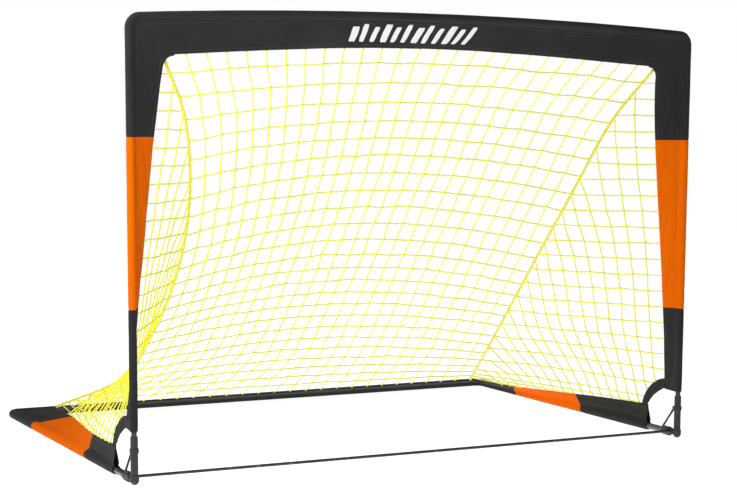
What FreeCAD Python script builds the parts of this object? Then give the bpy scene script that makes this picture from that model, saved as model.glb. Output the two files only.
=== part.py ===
import FreeCAD, Part
import math
import os
import Sketcher
from FreeCAD import Placement, Rotation, Vector

# Folding training goal: a rod arch hinged on a U-shaped ground loop, with fabric rod
# sleeves and a slack net. X is the goal's width, the mouth faces -Y and Z is up.
# The origin is on the ground, in the middle of the goal's footprint. Millimetres.

DRIVING = {
    # the two rod loops, measured between rod axes
    "half_width": 635,
    "depth": 875,
    "side_height": 892,
    "post_lean": 10,
    "crossbar_rise": 18.5,
    "base_height": 10,
    "rod_dia": 11,
    "rod_bore": 8,
    "spigot_dia": 7.6,
    "spigot_length": 45,
    "top_bend": 22,
    "rear_bend": 20,
    # steel tubes and hinge at each front corner
    "tube_dia": 15,
    "tube_bore": 11.3,
    "tube_height": 93,
    "base_tube_dia": 13.5,
    "base_tube_start": 27,
    "base_tube_end": 190,
    "slot_width": 6,
    "slot_start": 48,
    "slot_end": 158,
    "rod_start": 162,
    "collar_dia": 20,
    "collar_length": 20,
    "hinge_back": 20,
    "hinge_height": 12,
    "bar_dia": 6,
    "lug_thick": 5,
    "ear_thick": 2.4,
    "running_gap": 0.1,
    # folding strut at each front corner
    "strut_dia": 4.5,
    "strut_back": 11,
    "strut_top": 66,
    "strut_foot": 59.4,
    "strut_eye": 6.4,
    "strut_thick": 3,
    "pin_dia": 3,
    # fabric
    "arch_sleeve_bore": 14,
    "arch_sleeve_dia": 16.4,
    "base_sleeve_bore": 17.6,
    "base_sleeve_dia": 20,
    "band_width": 75,
    "band_thick": 2.4,
    "seam_gap": 1,
    "sleeve_bottom": 103,
    "base_sleeve_start": 108,
    "left_post_low_seam": 337,
    "left_post_high_seam": 665,
    "right_post_low_seam": 289,
    "right_post_high_seam": 662,
    "left_base_front_seam": 293,
    "right_base_front_seam": 378,
    "base_rear_seam": 678,
    "net_thick": 1.6,
    "edge_cord_dia": 4.5,
    "net_bulge": 70,
    "side_bulge": 20,
}

doc = FreeCAD.newDocument("folding_goal")
sheet = doc.addObject("Spreadsheet::Sheet", "sizes")
for row, (alias, value) in enumerate(DRIVING.items(), start=1):
    sheet.set(f"A{row}", alias)
    sheet.set(f"B{row}", str(value))
    sheet.setAlias(f"B{row}", alias)
doc.recompute()


def size(alias):
    """A driving dimension, read back from the sheet."""
    return float(sheet.get(alias))


HALF_WIDTH = size("half_width")
DEPTH = size("depth")
SIDE_HEIGHT = size("side_height")
BASE_Z = size("base_height")
# The footprint runs from the front of the post sleeves to the back of the rear sleeve.
FRONT = -(DEPTH + size("base_sleeve_dia") / 2 - size("arch_sleeve_dia") / 2) / 2
REAR = FRONT + DEPTH
SIDES = {"left": -1, "right": 1}
parts = []


def keep(obj, label):
    """Names an object as one of the sub-parts that are written out."""
    obj.Label = label
    parts.append(obj)
    return obj


def bind(obj, **expressions):
    for name, expression in expressions.items():
        obj.setExpression(name, expression)


def axis_placement(base, direction):
    """A placement whose local Z runs along direction."""
    return Placement(base, Rotation(Vector(0, 0, 1), direction))


# ---------------------------------------------------------------- PartDesign helpers


def origin_plane(body, role):
    return next(f for f in body.Origin.OriginFeatures if f.Role == role)


def circle_sketch(body, name, diameters, offset="0", plane="XY_Plane"):
    """A sketch of circles with one centre, at an expression's distance along its X."""
    sketch = body.newObject("Sketcher::SketchObject", name)
    sketch.AttachmentSupport = [(origin_plane(body, plane), "")]
    sketch.MapMode = "FlatFace"
    start = 1000 if offset != "0" else 0
    for index, diameter in enumerate(diameters):
        # each circle is drawn near its size and then driven by the sheet
        sketch.addGeometry(Part.Circle(Vector(start, 0, 0), Vector(0, 0, 1), 2 + index))
        ring = sketch.addConstraint(Sketcher.Constraint("Diameter", index, 4 + 2 * index))
        sketch.setExpression(f"Constraints[{ring}]", diameter)
        if offset == "0":
            sketch.addConstraint(Sketcher.Constraint("Coincident", index, 3, -1, 1))
        else:
            sketch.addConstraint(Sketcher.Constraint("PointOnObject", index, 3, -1))
            far = sketch.addConstraint(
                Sketcher.Constraint("DistanceX", -1, 1, index, 3, start)
            )
            sketch.setExpression(f"Constraints[{far}]", offset)
    return sketch


def straight_tube(label, diameters, length, placement):
    """A round bar or tube: circles padded along local Z. Sizes are expressions."""
    body = doc.addObject("PartDesign::Body", label)
    sketch = circle_sketch(body, f"{label}_section", diameters)
    pad = body.newObject("PartDesign::Pad", f"{label}_pad")
    pad.Profile = sketch
    bind(pad, Length=length)
    body.Placement = placement
    return keep(body, label)


def bowed_tube(label, diameters, bend_radius, angle, placement):
    """A tube bent to a radius: circles turned about local Z by an angle."""
    body = doc.addObject("PartDesign::Body", label)
    sketch = circle_sketch(body, f"{label}_section", diameters, bend_radius, "XZ_Plane")
    turn = body.newObject("PartDesign::Revolution", f"{label}_turn")
    turn.Profile = sketch
    turn.ReferenceAxis = (sketch, ["V_Axis"])
    bind(turn, Angle=angle)
    body.Placement = placement
    return keep(body, label)


def feature(label, shape):
    """A sub-part whose free-form shape is made with Part's own functions."""
    obj = doc.addObject("Part::Feature", label)
    obj.Shape = shape
    return keep(obj, label)


def primitive(kind, name, placement, **expressions):
    obj = doc.addObject(f"Part::{kind}", name)
    bind(obj, **expressions)
    obj.Placement = placement
    return obj


def joined(label, pieces):
    obj = doc.addObject("Part::MultiFuse", label)
    obj.Shapes = pieces
    return obj


def cut(label, base, tool):
    obj = doc.addObject("Part::Cut", label)
    obj.Base = base
    obj.Tool = tool
    return obj


# ---------------------------------------------------------------- the arch's rod line

# The crossbar is an arc over the two posts, and each post leans out to meet it.
HALF_TOP = HALF_WIDTH + size("post_lean")
RISE = size("crossbar_rise")
BAR_RADIUS = (HALF_TOP**2 + RISE**2) / (2 * RISE)
BAR_CENTRE_Z = SIDE_HEIGHT + RISE - BAR_RADIUS
LEAN_ANGLE = math.atan2(size("post_lean"), SIDE_HEIGHT)
POST_UP = Vector(math.sin(LEAN_ANGLE), 0, math.cos(LEAN_ANGLE))
POST_IN = Vector(-math.cos(LEAN_ANGLE), 0, math.sin(LEAN_ANGLE))
POST_FOOT = Vector(HALF_WIDTH, FRONT, 0)
BAR_CENTRE = Vector(0, FRONT, BAR_CENTRE_Z)
BEND = size("top_bend")


def bend_centre():
    """Centre of the corner bend that touches the right post and the crossbar's arc."""
    start = POST_FOOT + POST_IN * BEND - BAR_CENTRE
    along = start.dot(POST_UP)
    run = -along + math.sqrt(along**2 - start.dot(start) + (BAR_RADIUS - BEND) ** 2)
    return POST_FOOT + POST_IN * BEND + POST_UP * run


BEND_CENTRE = bend_centre()
POST_END = BEND_CENTRE - POST_IN * BEND
BAR_OUT = (BEND_CENTRE - BAR_CENTRE).normalize()
BAR_END = BAR_CENTRE + BAR_OUT * BAR_RADIUS
# Angles about Y of the bend's two ends, seen from the bend's centre.
POST_END_ANGLE = math.atan2(-POST_IN.z, -POST_IN.x)
BAR_END_ANGLE = math.atan2(BAR_OUT.z, BAR_OUT.x)
BAR_HALF_ANGLE = math.pi / 2 - BAR_END_ANGLE


def mirrored(point, side):
    return Vector(side * point.x, point.y, point.z)


def post_point(side, z):
    """A point on a post's rod axis at a height."""
    return mirrored(POST_FOOT + POST_UP * (z / POST_UP.z), side)


def bar_point(x):
    """A point on the crossbar's rod axis above an x."""
    return Vector(x, FRONT, BAR_CENTRE_Z + math.sqrt(BAR_RADIUS**2 - x**2))


def bend_point(side, share):
    """A point on the corner bend, from the post (0) to the crossbar (1)."""
    angle = POST_END_ANGLE + share * (BAR_END_ANGLE - POST_END_ANGLE)
    spoke = Vector(math.cos(angle), 0, math.sin(angle)) * BEND
    return mirrored(BEND_CENTRE + spoke, side)


# ---------------------------------------------------------------- the bands' free edges

BAND = size("band_width")
SLEEVE_BOTTOM = size("sleeve_bottom")
CORNER_BACK = 10
CORNER_X = HALF_TOP - BAND
CORNER_Z = bar_point(CORNER_X).z - math.sqrt(BAND**2 - CORNER_BACK**2)
BASE_START = size("base_sleeve_start")


def smooth_step(share):
    share = min(max(share, 0), 1)
    return share * share * (3 - 2 * share)


def post_edge(side, z):
    """The post band's free edge. The band turns from facing front to facing sideways."""
    share = (z - SLEEVE_BOTTOM) / (CORNER_Z - SLEEVE_BOTTOM)
    inward = BAND * share
    back = 34 + 16 * (1 - share) ** 4 - (34 - CORNER_BACK) * share**8
    return post_point(side, z) + Vector(-side * inward, back, 0)


def bar_edge(x):
    """The crossbar band's free edge, which the net pulls back in the middle."""
    back = CORNER_BACK + 32 * (1 - (x / CORNER_X) ** 2)
    return bar_point(x) + Vector(0, back, -math.sqrt(BAND**2 - back**2))


EDGE_START = Vector(0, FRONT + 112, 60)
EDGE_END = Vector(78, FRONT + 791, 30)


def base_edge(side, share):
    """The side base band's free edge: upright at the front and nearly flat behind."""
    y = EDGE_START.y + share * (EDGE_END.y - EDGE_START.y)
    z = EDGE_START.z + share * (EDGE_END.z - EDGE_START.z)
    inward = EDGE_END.x * smooth_step(share)
    return Vector(side * (HALF_WIDTH - inward), y, z)


def base_edge_share(back):
    """Where the free edge stands for a rod distance behind the mouth."""
    share = (back - BASE_START) / (DEPTH - BASE_START)
    edge_back = back + 4 - 88 * smooth_step((share - 0.25) / 0.5)
    return (FRONT + edge_back - EDGE_START.y) / (EDGE_END.y - EDGE_START.y)


# The thick cord along each corner of the net, from the top corner to the rear corner.
CORD_ROUTE = [
    (CORNER_X - 2, 20, CORNER_Z - 6),
    (501, 82, 700),
    (460, 163, 550),
    (440, 275, 400),
    (442, 416, 250),
    (468, 575, 120),
    (EDGE_END.x * -1 + HALF_WIDTH - 4, 783, 33),
]


def cord_point(side, share):
    """A point on the edge cord: a Catmull-Rom curve through its route."""
    spans = len(CORD_ROUTE) - 1
    span = min(int(share * spans), spans - 1)
    t = share * spans - span
    p0, p1, p2, p3 = (
        Vector(*CORD_ROUTE[min(max(span + k, 0), spans)]) for k in (-1, 0, 1, 2)
    )
    if span == 0:
        p0 = p1 * 2 - p2
    if span == spans - 1:
        p3 = p2 * 2 - p1
    point = (
        p1 * 2
        + (p2 - p0) * t
        + (p0 * 2 - p1 * 5 + p2 * 4 - p3) * t**2
        + (p1 * 3 - p0 - p2 * 3 + p3) * t**3
    ) * 0.5
    return Vector(side * point.x, FRONT + point.y, point.z)


# ---------------------------------------------------------------- thin-walled solids


def closed_solid(triangles):
    """A solid from triangles that all wind the same way round."""
    if sum(a.dot(b.cross(c)) for a, b, c in triangles) < 0:
        triangles = [(c, b, a) for a, b, c in triangles]
    faces = [Part.Face(Part.makePolygon([a, b, c, a])) for a, b, c in triangles]
    return Part.Solid(Part.makeShell(faces))


def quad(a, b, c, d):
    return [(a, b, c), (a, c, d)]


def grid_normals(grid):
    """The unit normal of a grid of points at each of its points."""
    rows, columns = len(grid), len(grid[0])
    normals = []
    for i in range(rows):
        line = []
        for j in range(columns):
            down = grid[min(i + 1, rows - 1)][j] - grid[max(i - 1, 0)][j]
            across = grid[i][min(j + 1, columns - 1)] - grid[i][max(j - 1, 0)]
            line.append(down.cross(across).normalize())
        normals.append(line)
    return normals


def thick_sheet(grid, thickness):
    """A closed solid around a grid of points, half of its thickness on each side."""
    rows, columns = len(grid), len(grid[0])
    normals = grid_normals(grid)
    front, back = (
        [
            [grid[i][j] + normals[i][j] * shift for j in range(columns)]
            for i in range(rows)
        ]
        for shift in (thickness / 2, -thickness / 2)
    )
    triangles = []
    for i in range(rows - 1):
        for j in range(columns - 1):
            # both faces are split along the same diagonal, so the thickness stays even
            corners = [(i, j), (i, j + 1), (i + 1, j + 1), (i + 1, j)]
            triangles += quad(*[front[r][c] for r, c in corners])
            triangles += quad(*[back[r][c] for r, c in corners[:1] + corners[:0:-1]])
    rim = [(0, j) for j in range(columns)]
    rim += [(i, columns - 1) for i in range(1, rows)]
    rim += [(rows - 1, j) for j in range(columns - 2, -1, -1)]
    rim += [(i, 0) for i in range(rows - 2, 0, -1)]
    for (i, j), (k, m) in zip(rim, rim[1:] + rim[:1]):
        triangles += quad(back[i][j], back[k][m], front[k][m], front[i][j])
    return closed_solid(triangles)


def cord_solid(points, diameter, sides=6):
    """A closed many-sided bar along a run of points."""
    rings = []
    for i, point in enumerate(points):
        ahead = points[min(i + 1, len(points) - 1)] - points[max(i - 1, 0)]
        ahead.normalize()
        out = ahead.cross(Vector(0, 1, 0)).normalize()
        up = ahead.cross(out)
        turn = [2 * math.pi * k / sides for k in range(sides)]
        rings.append(
            [point + (out * math.cos(a) + up * math.sin(a)) * diameter / 2 for a in turn]
        )
    triangles = []
    for ring, following in zip(rings, rings[1:]):
        for k in range(sides):
            m = (k + 1) % sides
            triangles += quad(ring[k], ring[m], following[m], following[k])
    for k in range(1, sides - 1):
        triangles.append((rings[0][0], rings[0][k + 1], rings[0][k]))
        triangles.append((rings[-1][0], rings[-1][k], rings[-1][k + 1]))
    return closed_solid(triangles)


def ring_tube(start, end, bore, outside):
    """A straight fabric tunnel around a rod."""
    run = end - start
    outer = Part.makeCylinder(outside / 2, run.Length, start, run)
    return outer.cut(Part.makeCylinder(bore / 2, run.Length, start, run))


def ring_bend(centre, spoke, axis, degrees, bore, outside):
    """A bent fabric tunnel: its section turned about an axis through centre."""
    start = centre + spoke
    ahead = axis.cross(spoke)
    disc = Part.Face(Part.Wire(Part.makeCircle(outside / 2, start, ahead)))
    hole = Part.Face(Part.Wire(Part.makeCircle(bore / 2, start, ahead)))
    return disc.cut(hole).revolve(centre, axis, degrees)


def bowed_tunnel(points, bore, outside, sides=16):
    """A many-sided fabric tunnel along points in the arch's plane."""
    back = Vector(0, 1, 0)
    last = len(points) - 1
    outer, inner = [], []
    for i, point in enumerate(points):
        ahead = points[min(i + 1, last)] - points[max(i - 1, 0)]
        up = back.cross(ahead).normalize()
        spokes = [
            up * math.cos(2 * math.pi * k / sides) + back * math.sin(2 * math.pi * k / sides)
            for k in range(sides)
        ]
        outer.append([point + spoke * (outside / 2) for spoke in spokes])
        inner.append([point + spoke * (bore / 2) for spoke in spokes])
    triangles = []
    for k in range(sides):
        m = (k + 1) % sides
        for i in range(last):
            triangles += quad(outer[i][k], outer[i][m], outer[i + 1][m], outer[i + 1][k])
            triangles += quad(inner[i][m], inner[i][k], inner[i + 1][k], inner[i + 1][m])
        triangles += quad(inner[0][k], inner[0][m], outer[0][m], outer[0][k])
        triangles += quad(inner[-1][m], inner[-1][k], outer[-1][k], outer[-1][m])
    return closed_solid(triangles)


def band_sheet(rod_points, edge_points, bore, outside, bent=(0, 0)):
    """The flat part of a band, from inside its tunnel's wall to its free edge.

    bent counts the stations at the start and at the end that turn into a corner mitre.
    """
    root = (bore + outside) / 4
    steps = 3
    last = len(rod_points) - 1
    grid = []
    for i, (rod, edge) in enumerate(zip(rod_points, edge_points)):
        along = (rod_points[min(i + 1, last)] - rod_points[max(i - 1, 0)]).normalize()
        across = edge - rod
        straight = bent[0] <= i <= last - bent[1]
        square = across - along * (across.dot(along) if straight else 0)
        first = rod + square.normalize() * root
        grid.append([first + (edge - first) * (k / steps) for k in range(steps + 1)])
    return thick_sheet(grid, size("band_thick"))


def spread(start, end, count):
    return [start + (end - start) * k / (count - 1) for k in range(count)]


def fabric(label, tunnels, band):
    shape = band.fuse(tunnels).removeSplitter()
    return feature(label, shape.Solids[0] if len(shape.Solids) == 1 else shape)


# ---------------------------------------------------------------- steel corner hardware


def corner_steel(name, side):
    x = side * HALF_WIDTH
    post = axis_placement(Vector(x, FRONT, 0), mirrored(POST_UP, side))
    up = Placement(post)
    up.Base = post.multVec(Vector(0, 0, 8))
    straight_tube(
        f"{name}_post_tube",
        ["sizes.tube_dia", "sizes.tube_bore"],
        "sizes.tube_height - 8",
        up,
    )

    # Rounded plastic foot that closes the post tube.
    body = doc.addObject("PartDesign::Body", f"{name}_post_foot")
    sketch = body.newObject("Sketcher::SketchObject", f"{name}_post_foot_outline")
    sketch.AttachmentSupport = [(origin_plane(body, "XZ_Plane"), "")]
    sketch.MapMode = "FlatFace"
    radius = size("tube_dia") / 2
    plug = size("tube_bore") / 2 - 0.35
    dome = radius - 1.5
    outline = [
        Part.LineSegment(Vector(0, 0, 0), Vector(radius - dome, 0, 0)),
        Part.ArcOfCircle(
            Part.Circle(Vector(radius - dome, dome, 0), Vector(0, 0, 1), dome),
            -math.pi / 2,
            0,
        ),
        Part.LineSegment(Vector(radius, dome, 0), Vector(radius, 7.9, 0)),
        Part.LineSegment(Vector(radius, 7.9, 0), Vector(plug, 7.9, 0)),
        Part.LineSegment(Vector(plug, 7.9, 0), Vector(plug, 20, 0)),
        Part.LineSegment(Vector(plug, 20, 0), Vector(0, 20, 0)),
        Part.LineSegment(Vector(0, 20, 0), Vector(0, 0, 0)),
    ]
    sketch.addGeometry(outline)
    turn = body.newObject("PartDesign::Revolution", f"{name}_post_foot_turn")
    turn.Profile = sketch
    turn.ReferenceAxis = (sketch, ["V_Axis"])
    body.Placement = Placement(Vector(x, FRONT, 0), Rotation())
    keep(body, f"{name}_post_foot")

    hinge_clevis(name, side)
    strut_bracket(name, side)
    base_tube(name, side)
    strut(name, side)


def plate(name, thickness, centre, outline):
    """A flat plate across X, from (y, z) outline points about its centre."""
    body = doc.addObject("PartDesign::Body", name)
    sketch = body.newObject("Sketcher::SketchObject", f"{name}_outline")
    sketch.AttachmentSupport = [(origin_plane(body, "YZ_Plane"), "")]
    sketch.MapMode = "FlatFace"
    sketch.addGeometry(outline)
    pad = body.newObject("PartDesign::Pad", f"{name}_pad")
    pad.Profile = sketch
    pad.Midplane = True
    bind(pad, Length=thickness)
    body.Placement = Placement(centre, Rotation())
    return body


def eye_outline(reach, half, radius, hole):
    """A tongue with one round end at 0 and a square end at reach, and a pin hole."""
    sign = math.copysign(1, reach)
    near, far = (math.pi / 2, 3 * math.pi / 2) if sign > 0 else (-math.pi / 2, math.pi / 2)
    arc = Part.ArcOfCircle(Part.Circle(Vector(0, 0, 0), Vector(0, 0, 1), radius), near, far)
    top, bottom = Vector(0, radius, 0), Vector(0, -radius, 0)
    end_top, end_bottom = Vector(reach, half, 0), Vector(reach, -half, 0)
    return [
        arc,
        Part.LineSegment(bottom, end_bottom),
        Part.LineSegment(end_bottom, end_top),
        Part.LineSegment(end_top, top),
        Part.Circle(Vector(0, 0, 0), Vector(0, 0, 1), hole / 2),
    ]


def hinge_point(x):
    return Vector(x, FRONT + size("hinge_back"), size("hinge_height"))


def eared_clamp(label, side, pivot, radius, gap, tall, hole_dia):
    """A split clamp ring with two ears that hold a cross pin behind the post tube."""
    low = post_point(side, pivot.z - tall / 2)
    up = mirrored(POST_UP, side)
    ring = primitive(
        "Cylinder",
        f"{label}_ring",
        axis_placement(low, up),
        Radius="(sizes.tube_dia + 3.2) / 2",
    )
    ring.Height = tall
    bore = primitive(
        "Cylinder",
        f"{label}_ring_bore",
        axis_placement(low - up, up),
        Radius="(sizes.tube_dia + 0.3) / 2",
    )
    bore.Height = tall + 2
    split = primitive(
        "Box",
        f"{label}_split",
        Placement(Vector(pivot.x - gap / 2, FRONT, pivot.z - tall), Rotation()),
    )
    split.Length = gap
    split.Width = size("tube_dia")
    split.Height = 2 * tall
    reach = FRONT + size("tube_dia") / 2 - 1 - pivot.y
    ears = []
    for number, shift in enumerate((-1, 1)):
        ear = plate(
            f"{label}_ear_{number}",
            "sizes.ear_thick",
            pivot + Vector(shift * (gap + size("ear_thick")) / 2, 0, 0),
            eye_outline(reach, tall / 2, radius, hole_dia),
        )
        ears.append(ear)
    solid = joined(f"{label}_solid", [ring] + ears)
    opened = cut(f"{label}_opened", solid, split)
    return keep(cut(label, opened, bore), label)


def hinge_clevis(name, side):
    """Ears on the post tube that ride on the ground bar, which is the fold's pin."""
    pivot = hinge_point(side * HALF_WIDTH)
    gap = size("lug_thick") + 0.6
    hole = size("bar_dia") + size("running_gap")
    eared_clamp(f"{name}_hinge_clevis", side, pivot, 5.2, gap, 12, hole)


def strut_pivot(side):
    """The strut's upper pin, behind the post tube."""
    point = post_point(side, size("strut_top"))
    return point + Vector(0, size("strut_back"), 0)


def strut_bracket(name, side):
    gap = size("strut_thick") + 0.6
    hole = size("pin_dia")
    label = f"{name}_strut_bracket"
    eared_clamp(label, side, strut_pivot(side), 3.5, gap, 8, hole)
    # The pin's two ends are riveted in the ears.
    length = gap + 2 * size("ear_thick")
    start = strut_pivot(side) - Vector(length / 2, 0, 0)
    straight_tube(
        f"{name}_strut_pin",
        ["sizes.pin_dia"],
        f"{length}",
        axis_placement(start, Vector(1, 0, 0)),
    )


def base_tube(name, side):
    """Slotted steel tube at the front of the ground loop, its collar and its lug."""
    x = side * HALF_WIDTH
    start = Vector(x, FRONT + size("base_tube_start"), BASE_Z)
    back = Vector(0, 1, 0)
    ring = primitive(
        "Cylinder",
        f"{name}_base_tube_wall",
        axis_placement(start, back),
        Radius="sizes.base_tube_dia / 2",
        Height="sizes.base_tube_end - sizes.base_tube_start",
    )
    bore = primitive(
        "Cylinder",
        f"{name}_base_tube_bore",
        axis_placement(start, back),
        Radius="sizes.tube_bore / 2",
        Height="sizes.base_tube_end - sizes.base_tube_start",
    )
    slot = primitive(
        "Box",
        f"{name}_base_tube_slot",
        Placement(
            Vector(x - size("slot_width") / 2, FRONT + size("slot_start"), BASE_Z),
            Rotation(),
        ),
        Length="sizes.slot_width",
        Width="sizes.slot_end - sizes.slot_start",
        Height="sizes.base_tube_dia",
    )
    hollow = cut(f"{name}_base_tube_hollow", ring, bore)
    keep(cut(f"{name}_base_tube", hollow, slot), f"{name}_base_tube")

    collar_start = start - Vector(0, 0.2, 0)
    straight_tube(
        f"{name}_hub_collar",
        ["sizes.collar_dia", "sizes.base_tube_dia + 0.1"],
        "sizes.collar_length",
        axis_placement(collar_start, back),
    )

    # The lug is a plug in the tube's front end with a flat tongue for the ground bar.
    pivot = hinge_point(x)
    plug = primitive(
        "Cylinder",
        f"{name}_lug_plug",
        axis_placement(start - Vector(0, 1.5, 0), back),
        Radius="sizes.tube_bore / 2 - 0.1",
    )
    plug.Height = 17
    tongue = plate(
        f"{name}_lug_tongue",
        "sizes.lug_thick",
        pivot,
        eye_outline(start.y - 0.4 - pivot.y, 4, 5.4, size("bar_dia") + size("running_gap")),
    )
    lug = joined(f"{name}_hinge_lug", [plug, tongue])
    keep(lug, f"{name}_hinge_lug")


def strut(name, side):
    """The corner strut: a flat eye on the upper pin and a foot in the tube's slot."""
    pivot = strut_pivot(side)
    foot = Vector(side * HALF_WIDTH, FRONT + size("strut_foot"), BASE_Z)
    run = foot - pivot
    eye_radius = size("strut_eye") / 2
    rod_start = pivot + run * (eye_radius / run.Length)
    rod = primitive(
        "Cylinder",
        f"{name}_strut_rod",
        axis_placement(rod_start, run),
        Radius="sizes.strut_dia / 2",
    )
    rod.Height = run.Length - eye_radius
    toe = primitive(
        "Sphere", f"{name}_strut_toe", Placement(foot, Rotation()), Radius="sizes.strut_dia / 2"
    )
    eye = primitive(
        "Cylinder",
        f"{name}_strut_eye",
        axis_placement(pivot - Vector(size("strut_thick") / 2, 0, 0), Vector(1, 0, 0)),
        Radius="sizes.strut_eye / 2",
        Height="sizes.strut_thick",
    )
    hole = primitive(
        "Cylinder",
        f"{name}_strut_hole",
        axis_placement(pivot - Vector(size("strut_thick"), 0, 0), Vector(1, 0, 0)),
        Radius="(sizes.pin_dia + sizes.running_gap) / 2",
        Height="2 * sizes.strut_thick",
    )
    # The rod's top is pressed flat to fit between the bracket's ears.
    flat = primitive(
        "Box",
        f"{name}_strut_flat",
        Placement(Vector(), Rotation()),
        Length="sizes.strut_thick",
        Width="sizes.strut_dia",
    )
    flat.Height = 16
    turn = Rotation(Vector(1, 0, 0), Vector(0, 0, 1), run, "XZY")
    flat.Placement = Placement(rod_start, turn)
    corner = flat.Placement.multVec(
        Vector(size("strut_thick") / 2, size("strut_dia") / 2, 4)
    )
    flat.Placement.Base = rod_start - (corner - rod_start)
    rod.Placement.Base = rod_start + run * (9 / run.Length)
    rod.Height = run.Length - eye_radius - 9
    solid = joined(f"{name}_strut_solid", [rod, toe, eye, flat])
    keep(cut(f"{name}_strut", solid, hole), f"{name}_strut")


def ground_bar():
    """The bar on the ground between the corners, which is also the fold's pin."""
    over = 6.5
    left = hinge_point(-HALF_WIDTH - over)
    straight_tube(
        "ground_bar",
        ["sizes.bar_dia"],
        f"2 * (sizes.half_width + {over})",
        axis_placement(left, Vector(1, 0, 0)),
    )
    # Push-on caps outside the clevis ears keep the bar in place.
    clevis_half = size("lug_thick") / 2 + 0.3 + size("ear_thick")
    caps = []
    for name, side in SIDES.items():
        near = hinge_point(side * (HALF_WIDTH + clevis_half + 0.3))
        outward = Vector(side, 0, 0)
        outer = primitive(
            "Cylinder", f"{name}_bar_cap_wall", axis_placement(near, outward)
        )
        outer.Radius = 5
        outer.Height = 4
        hole = primitive(
            "Cylinder",
            f"{name}_bar_cap_hole",
            axis_placement(near, outward),
            Radius="sizes.bar_dia / 2",
        )
        hole.Height = over - clevis_half - 0.3
        caps.append(cut(f"{name}_bar_cap", outer, hole))
    keep(joined("bar_end_caps", caps), "bar_end_caps")


# ---------------------------------------------------------------- flexible rods

ROD = ["sizes.rod_dia", "sizes.rod_bore"]


def arch_rods():
    bar_turn = math.degrees(BAR_HALF_ANGLE)
    rod_z = size("tube_height") - 27
    for name, side in SIDES.items():
        foot = post_point(side, rod_z)
        length = (POST_END - post_point(1, rod_z)).Length
        up = mirrored(POST_UP, side)
        straight_tube(f"{name}_post_rod", ROD, f"{length}", axis_placement(foot, up))

        # Each half of the crossbar is a tube bowed in the arch's plane.
        half = -bar_turn if side > 0 else 0
        frame = Placement(BAR_CENTRE, Rotation(Vector(0, 1, 0), -90 - half))
        frame = frame.multiply(Placement(Vector(), Rotation(Vector(1, 0, 0), 90)))
        bowed_tube(
            f"{name}_crossbar_rod", ROD, f"{BAR_RADIUS}", f"{bar_turn - 0.003}", frame
        )

        # Bent steel corner with a spigot in each rod.
        centre = mirrored(BEND_CENTRE, side)
        turn = math.degrees(BAR_END_ANGLE - POST_END_ANGLE)
        swing = primitive(
            "Torus", f"{name}_top_bend", Placement(), Radius2="sizes.rod_dia / 2"
        )
        swing.Radius1 = BEND
        swing.Angle3 = turn
        first = math.degrees(POST_END_ANGLE if side > 0 else math.pi - BAR_END_ANGLE)
        tilt = Rotation(Vector(1, 0, 0), 90).multiply(Rotation(Vector(0, 0, 1), first))
        swing.Placement = Placement(centre, tilt)
        down = primitive(
            "Cylinder",
            f"{name}_post_spigot",
            axis_placement(mirrored(POST_END, side), up * -1),
            Radius="sizes.spigot_dia / 2",
            Height="sizes.spigot_length",
        )
        tangent = mirrored(Vector(-BAR_OUT.z, 0, BAR_OUT.x), side)
        across = primitive(
            "Cylinder",
            f"{name}_bar_spigot",
            axis_placement(mirrored(BAR_END, side), tangent),
            Radius="sizes.spigot_dia / 2",
            Height="sizes.spigot_length",
        )
        elbow = joined(f"{name}_top_elbow", [swing, down, across])
        keep(elbow, f"{name}_top_elbow")

    splice_turn = math.degrees(120 / BAR_RADIUS)
    frame = Placement(BAR_CENTRE, Rotation(Vector(0, 1, 0), -90 - splice_turn / 2))
    frame = frame.multiply(Placement(Vector(), Rotation(Vector(1, 0, 0), 90)))
    bowed_tube("crossbar_splice", ["sizes.spigot_dia"], f"{BAR_RADIUS}", f"{splice_turn}", frame)


def base_rods():
    bend = size("rear_bend")
    back, rod_start = Vector(0, 1, 0), size("rod_start")
    for name, side in SIDES.items():
        x = side * HALF_WIDTH
        straight_tube(
            f"{name}_base_rod",
            ROD,
            "sizes.depth - sizes.rear_bend - sizes.rod_start",
            axis_placement(Vector(x, FRONT + rod_start, BASE_Z), back),
        )
        straight_tube(
            f"{name}_rear_rod",
            ROD,
            "sizes.half_width - sizes.rear_bend - 0.5",
            axis_placement(Vector(side * 0.5, REAR, BASE_Z), Vector(side, 0, 0)),
        )
        swing = primitive(
            "Torus",
            f"{name}_rear_bend",
            Placement(),
            Radius1="sizes.rear_bend",
            Radius2="sizes.rod_dia / 2",
        )
        swing.Angle3 = 90
        turn = Rotation(Vector(0, 0, 1), 0 if side > 0 else 90)
        swing.Placement = Placement(Vector(x - side * bend, REAR - bend, BASE_Z), turn)
        forward = primitive(
            "Cylinder",
            f"{name}_side_spigot",
            axis_placement(Vector(x, REAR - bend, BASE_Z), back * -1),
            Radius="sizes.spigot_dia / 2",
            Height="sizes.spigot_length",
        )
        across = primitive(
            "Cylinder",
            f"{name}_rear_spigot",
            axis_placement(Vector(x - side * bend, REAR, BASE_Z), Vector(-side, 0, 0)),
            Radius="sizes.spigot_dia / 2",
            Height="sizes.spigot_length",
        )
        elbow = joined(f"{name}_rear_elbow", [swing, forward, across])
        keep(elbow, f"{name}_rear_elbow")
    straight_tube(
        "rear_splice",
        ["sizes.spigot_dia"],
        "120",
        axis_placement(Vector(-60, REAR, BASE_Z), Vector(1, 0, 0)),
    )


# ---------------------------------------------------------------- fabric bands


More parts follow.
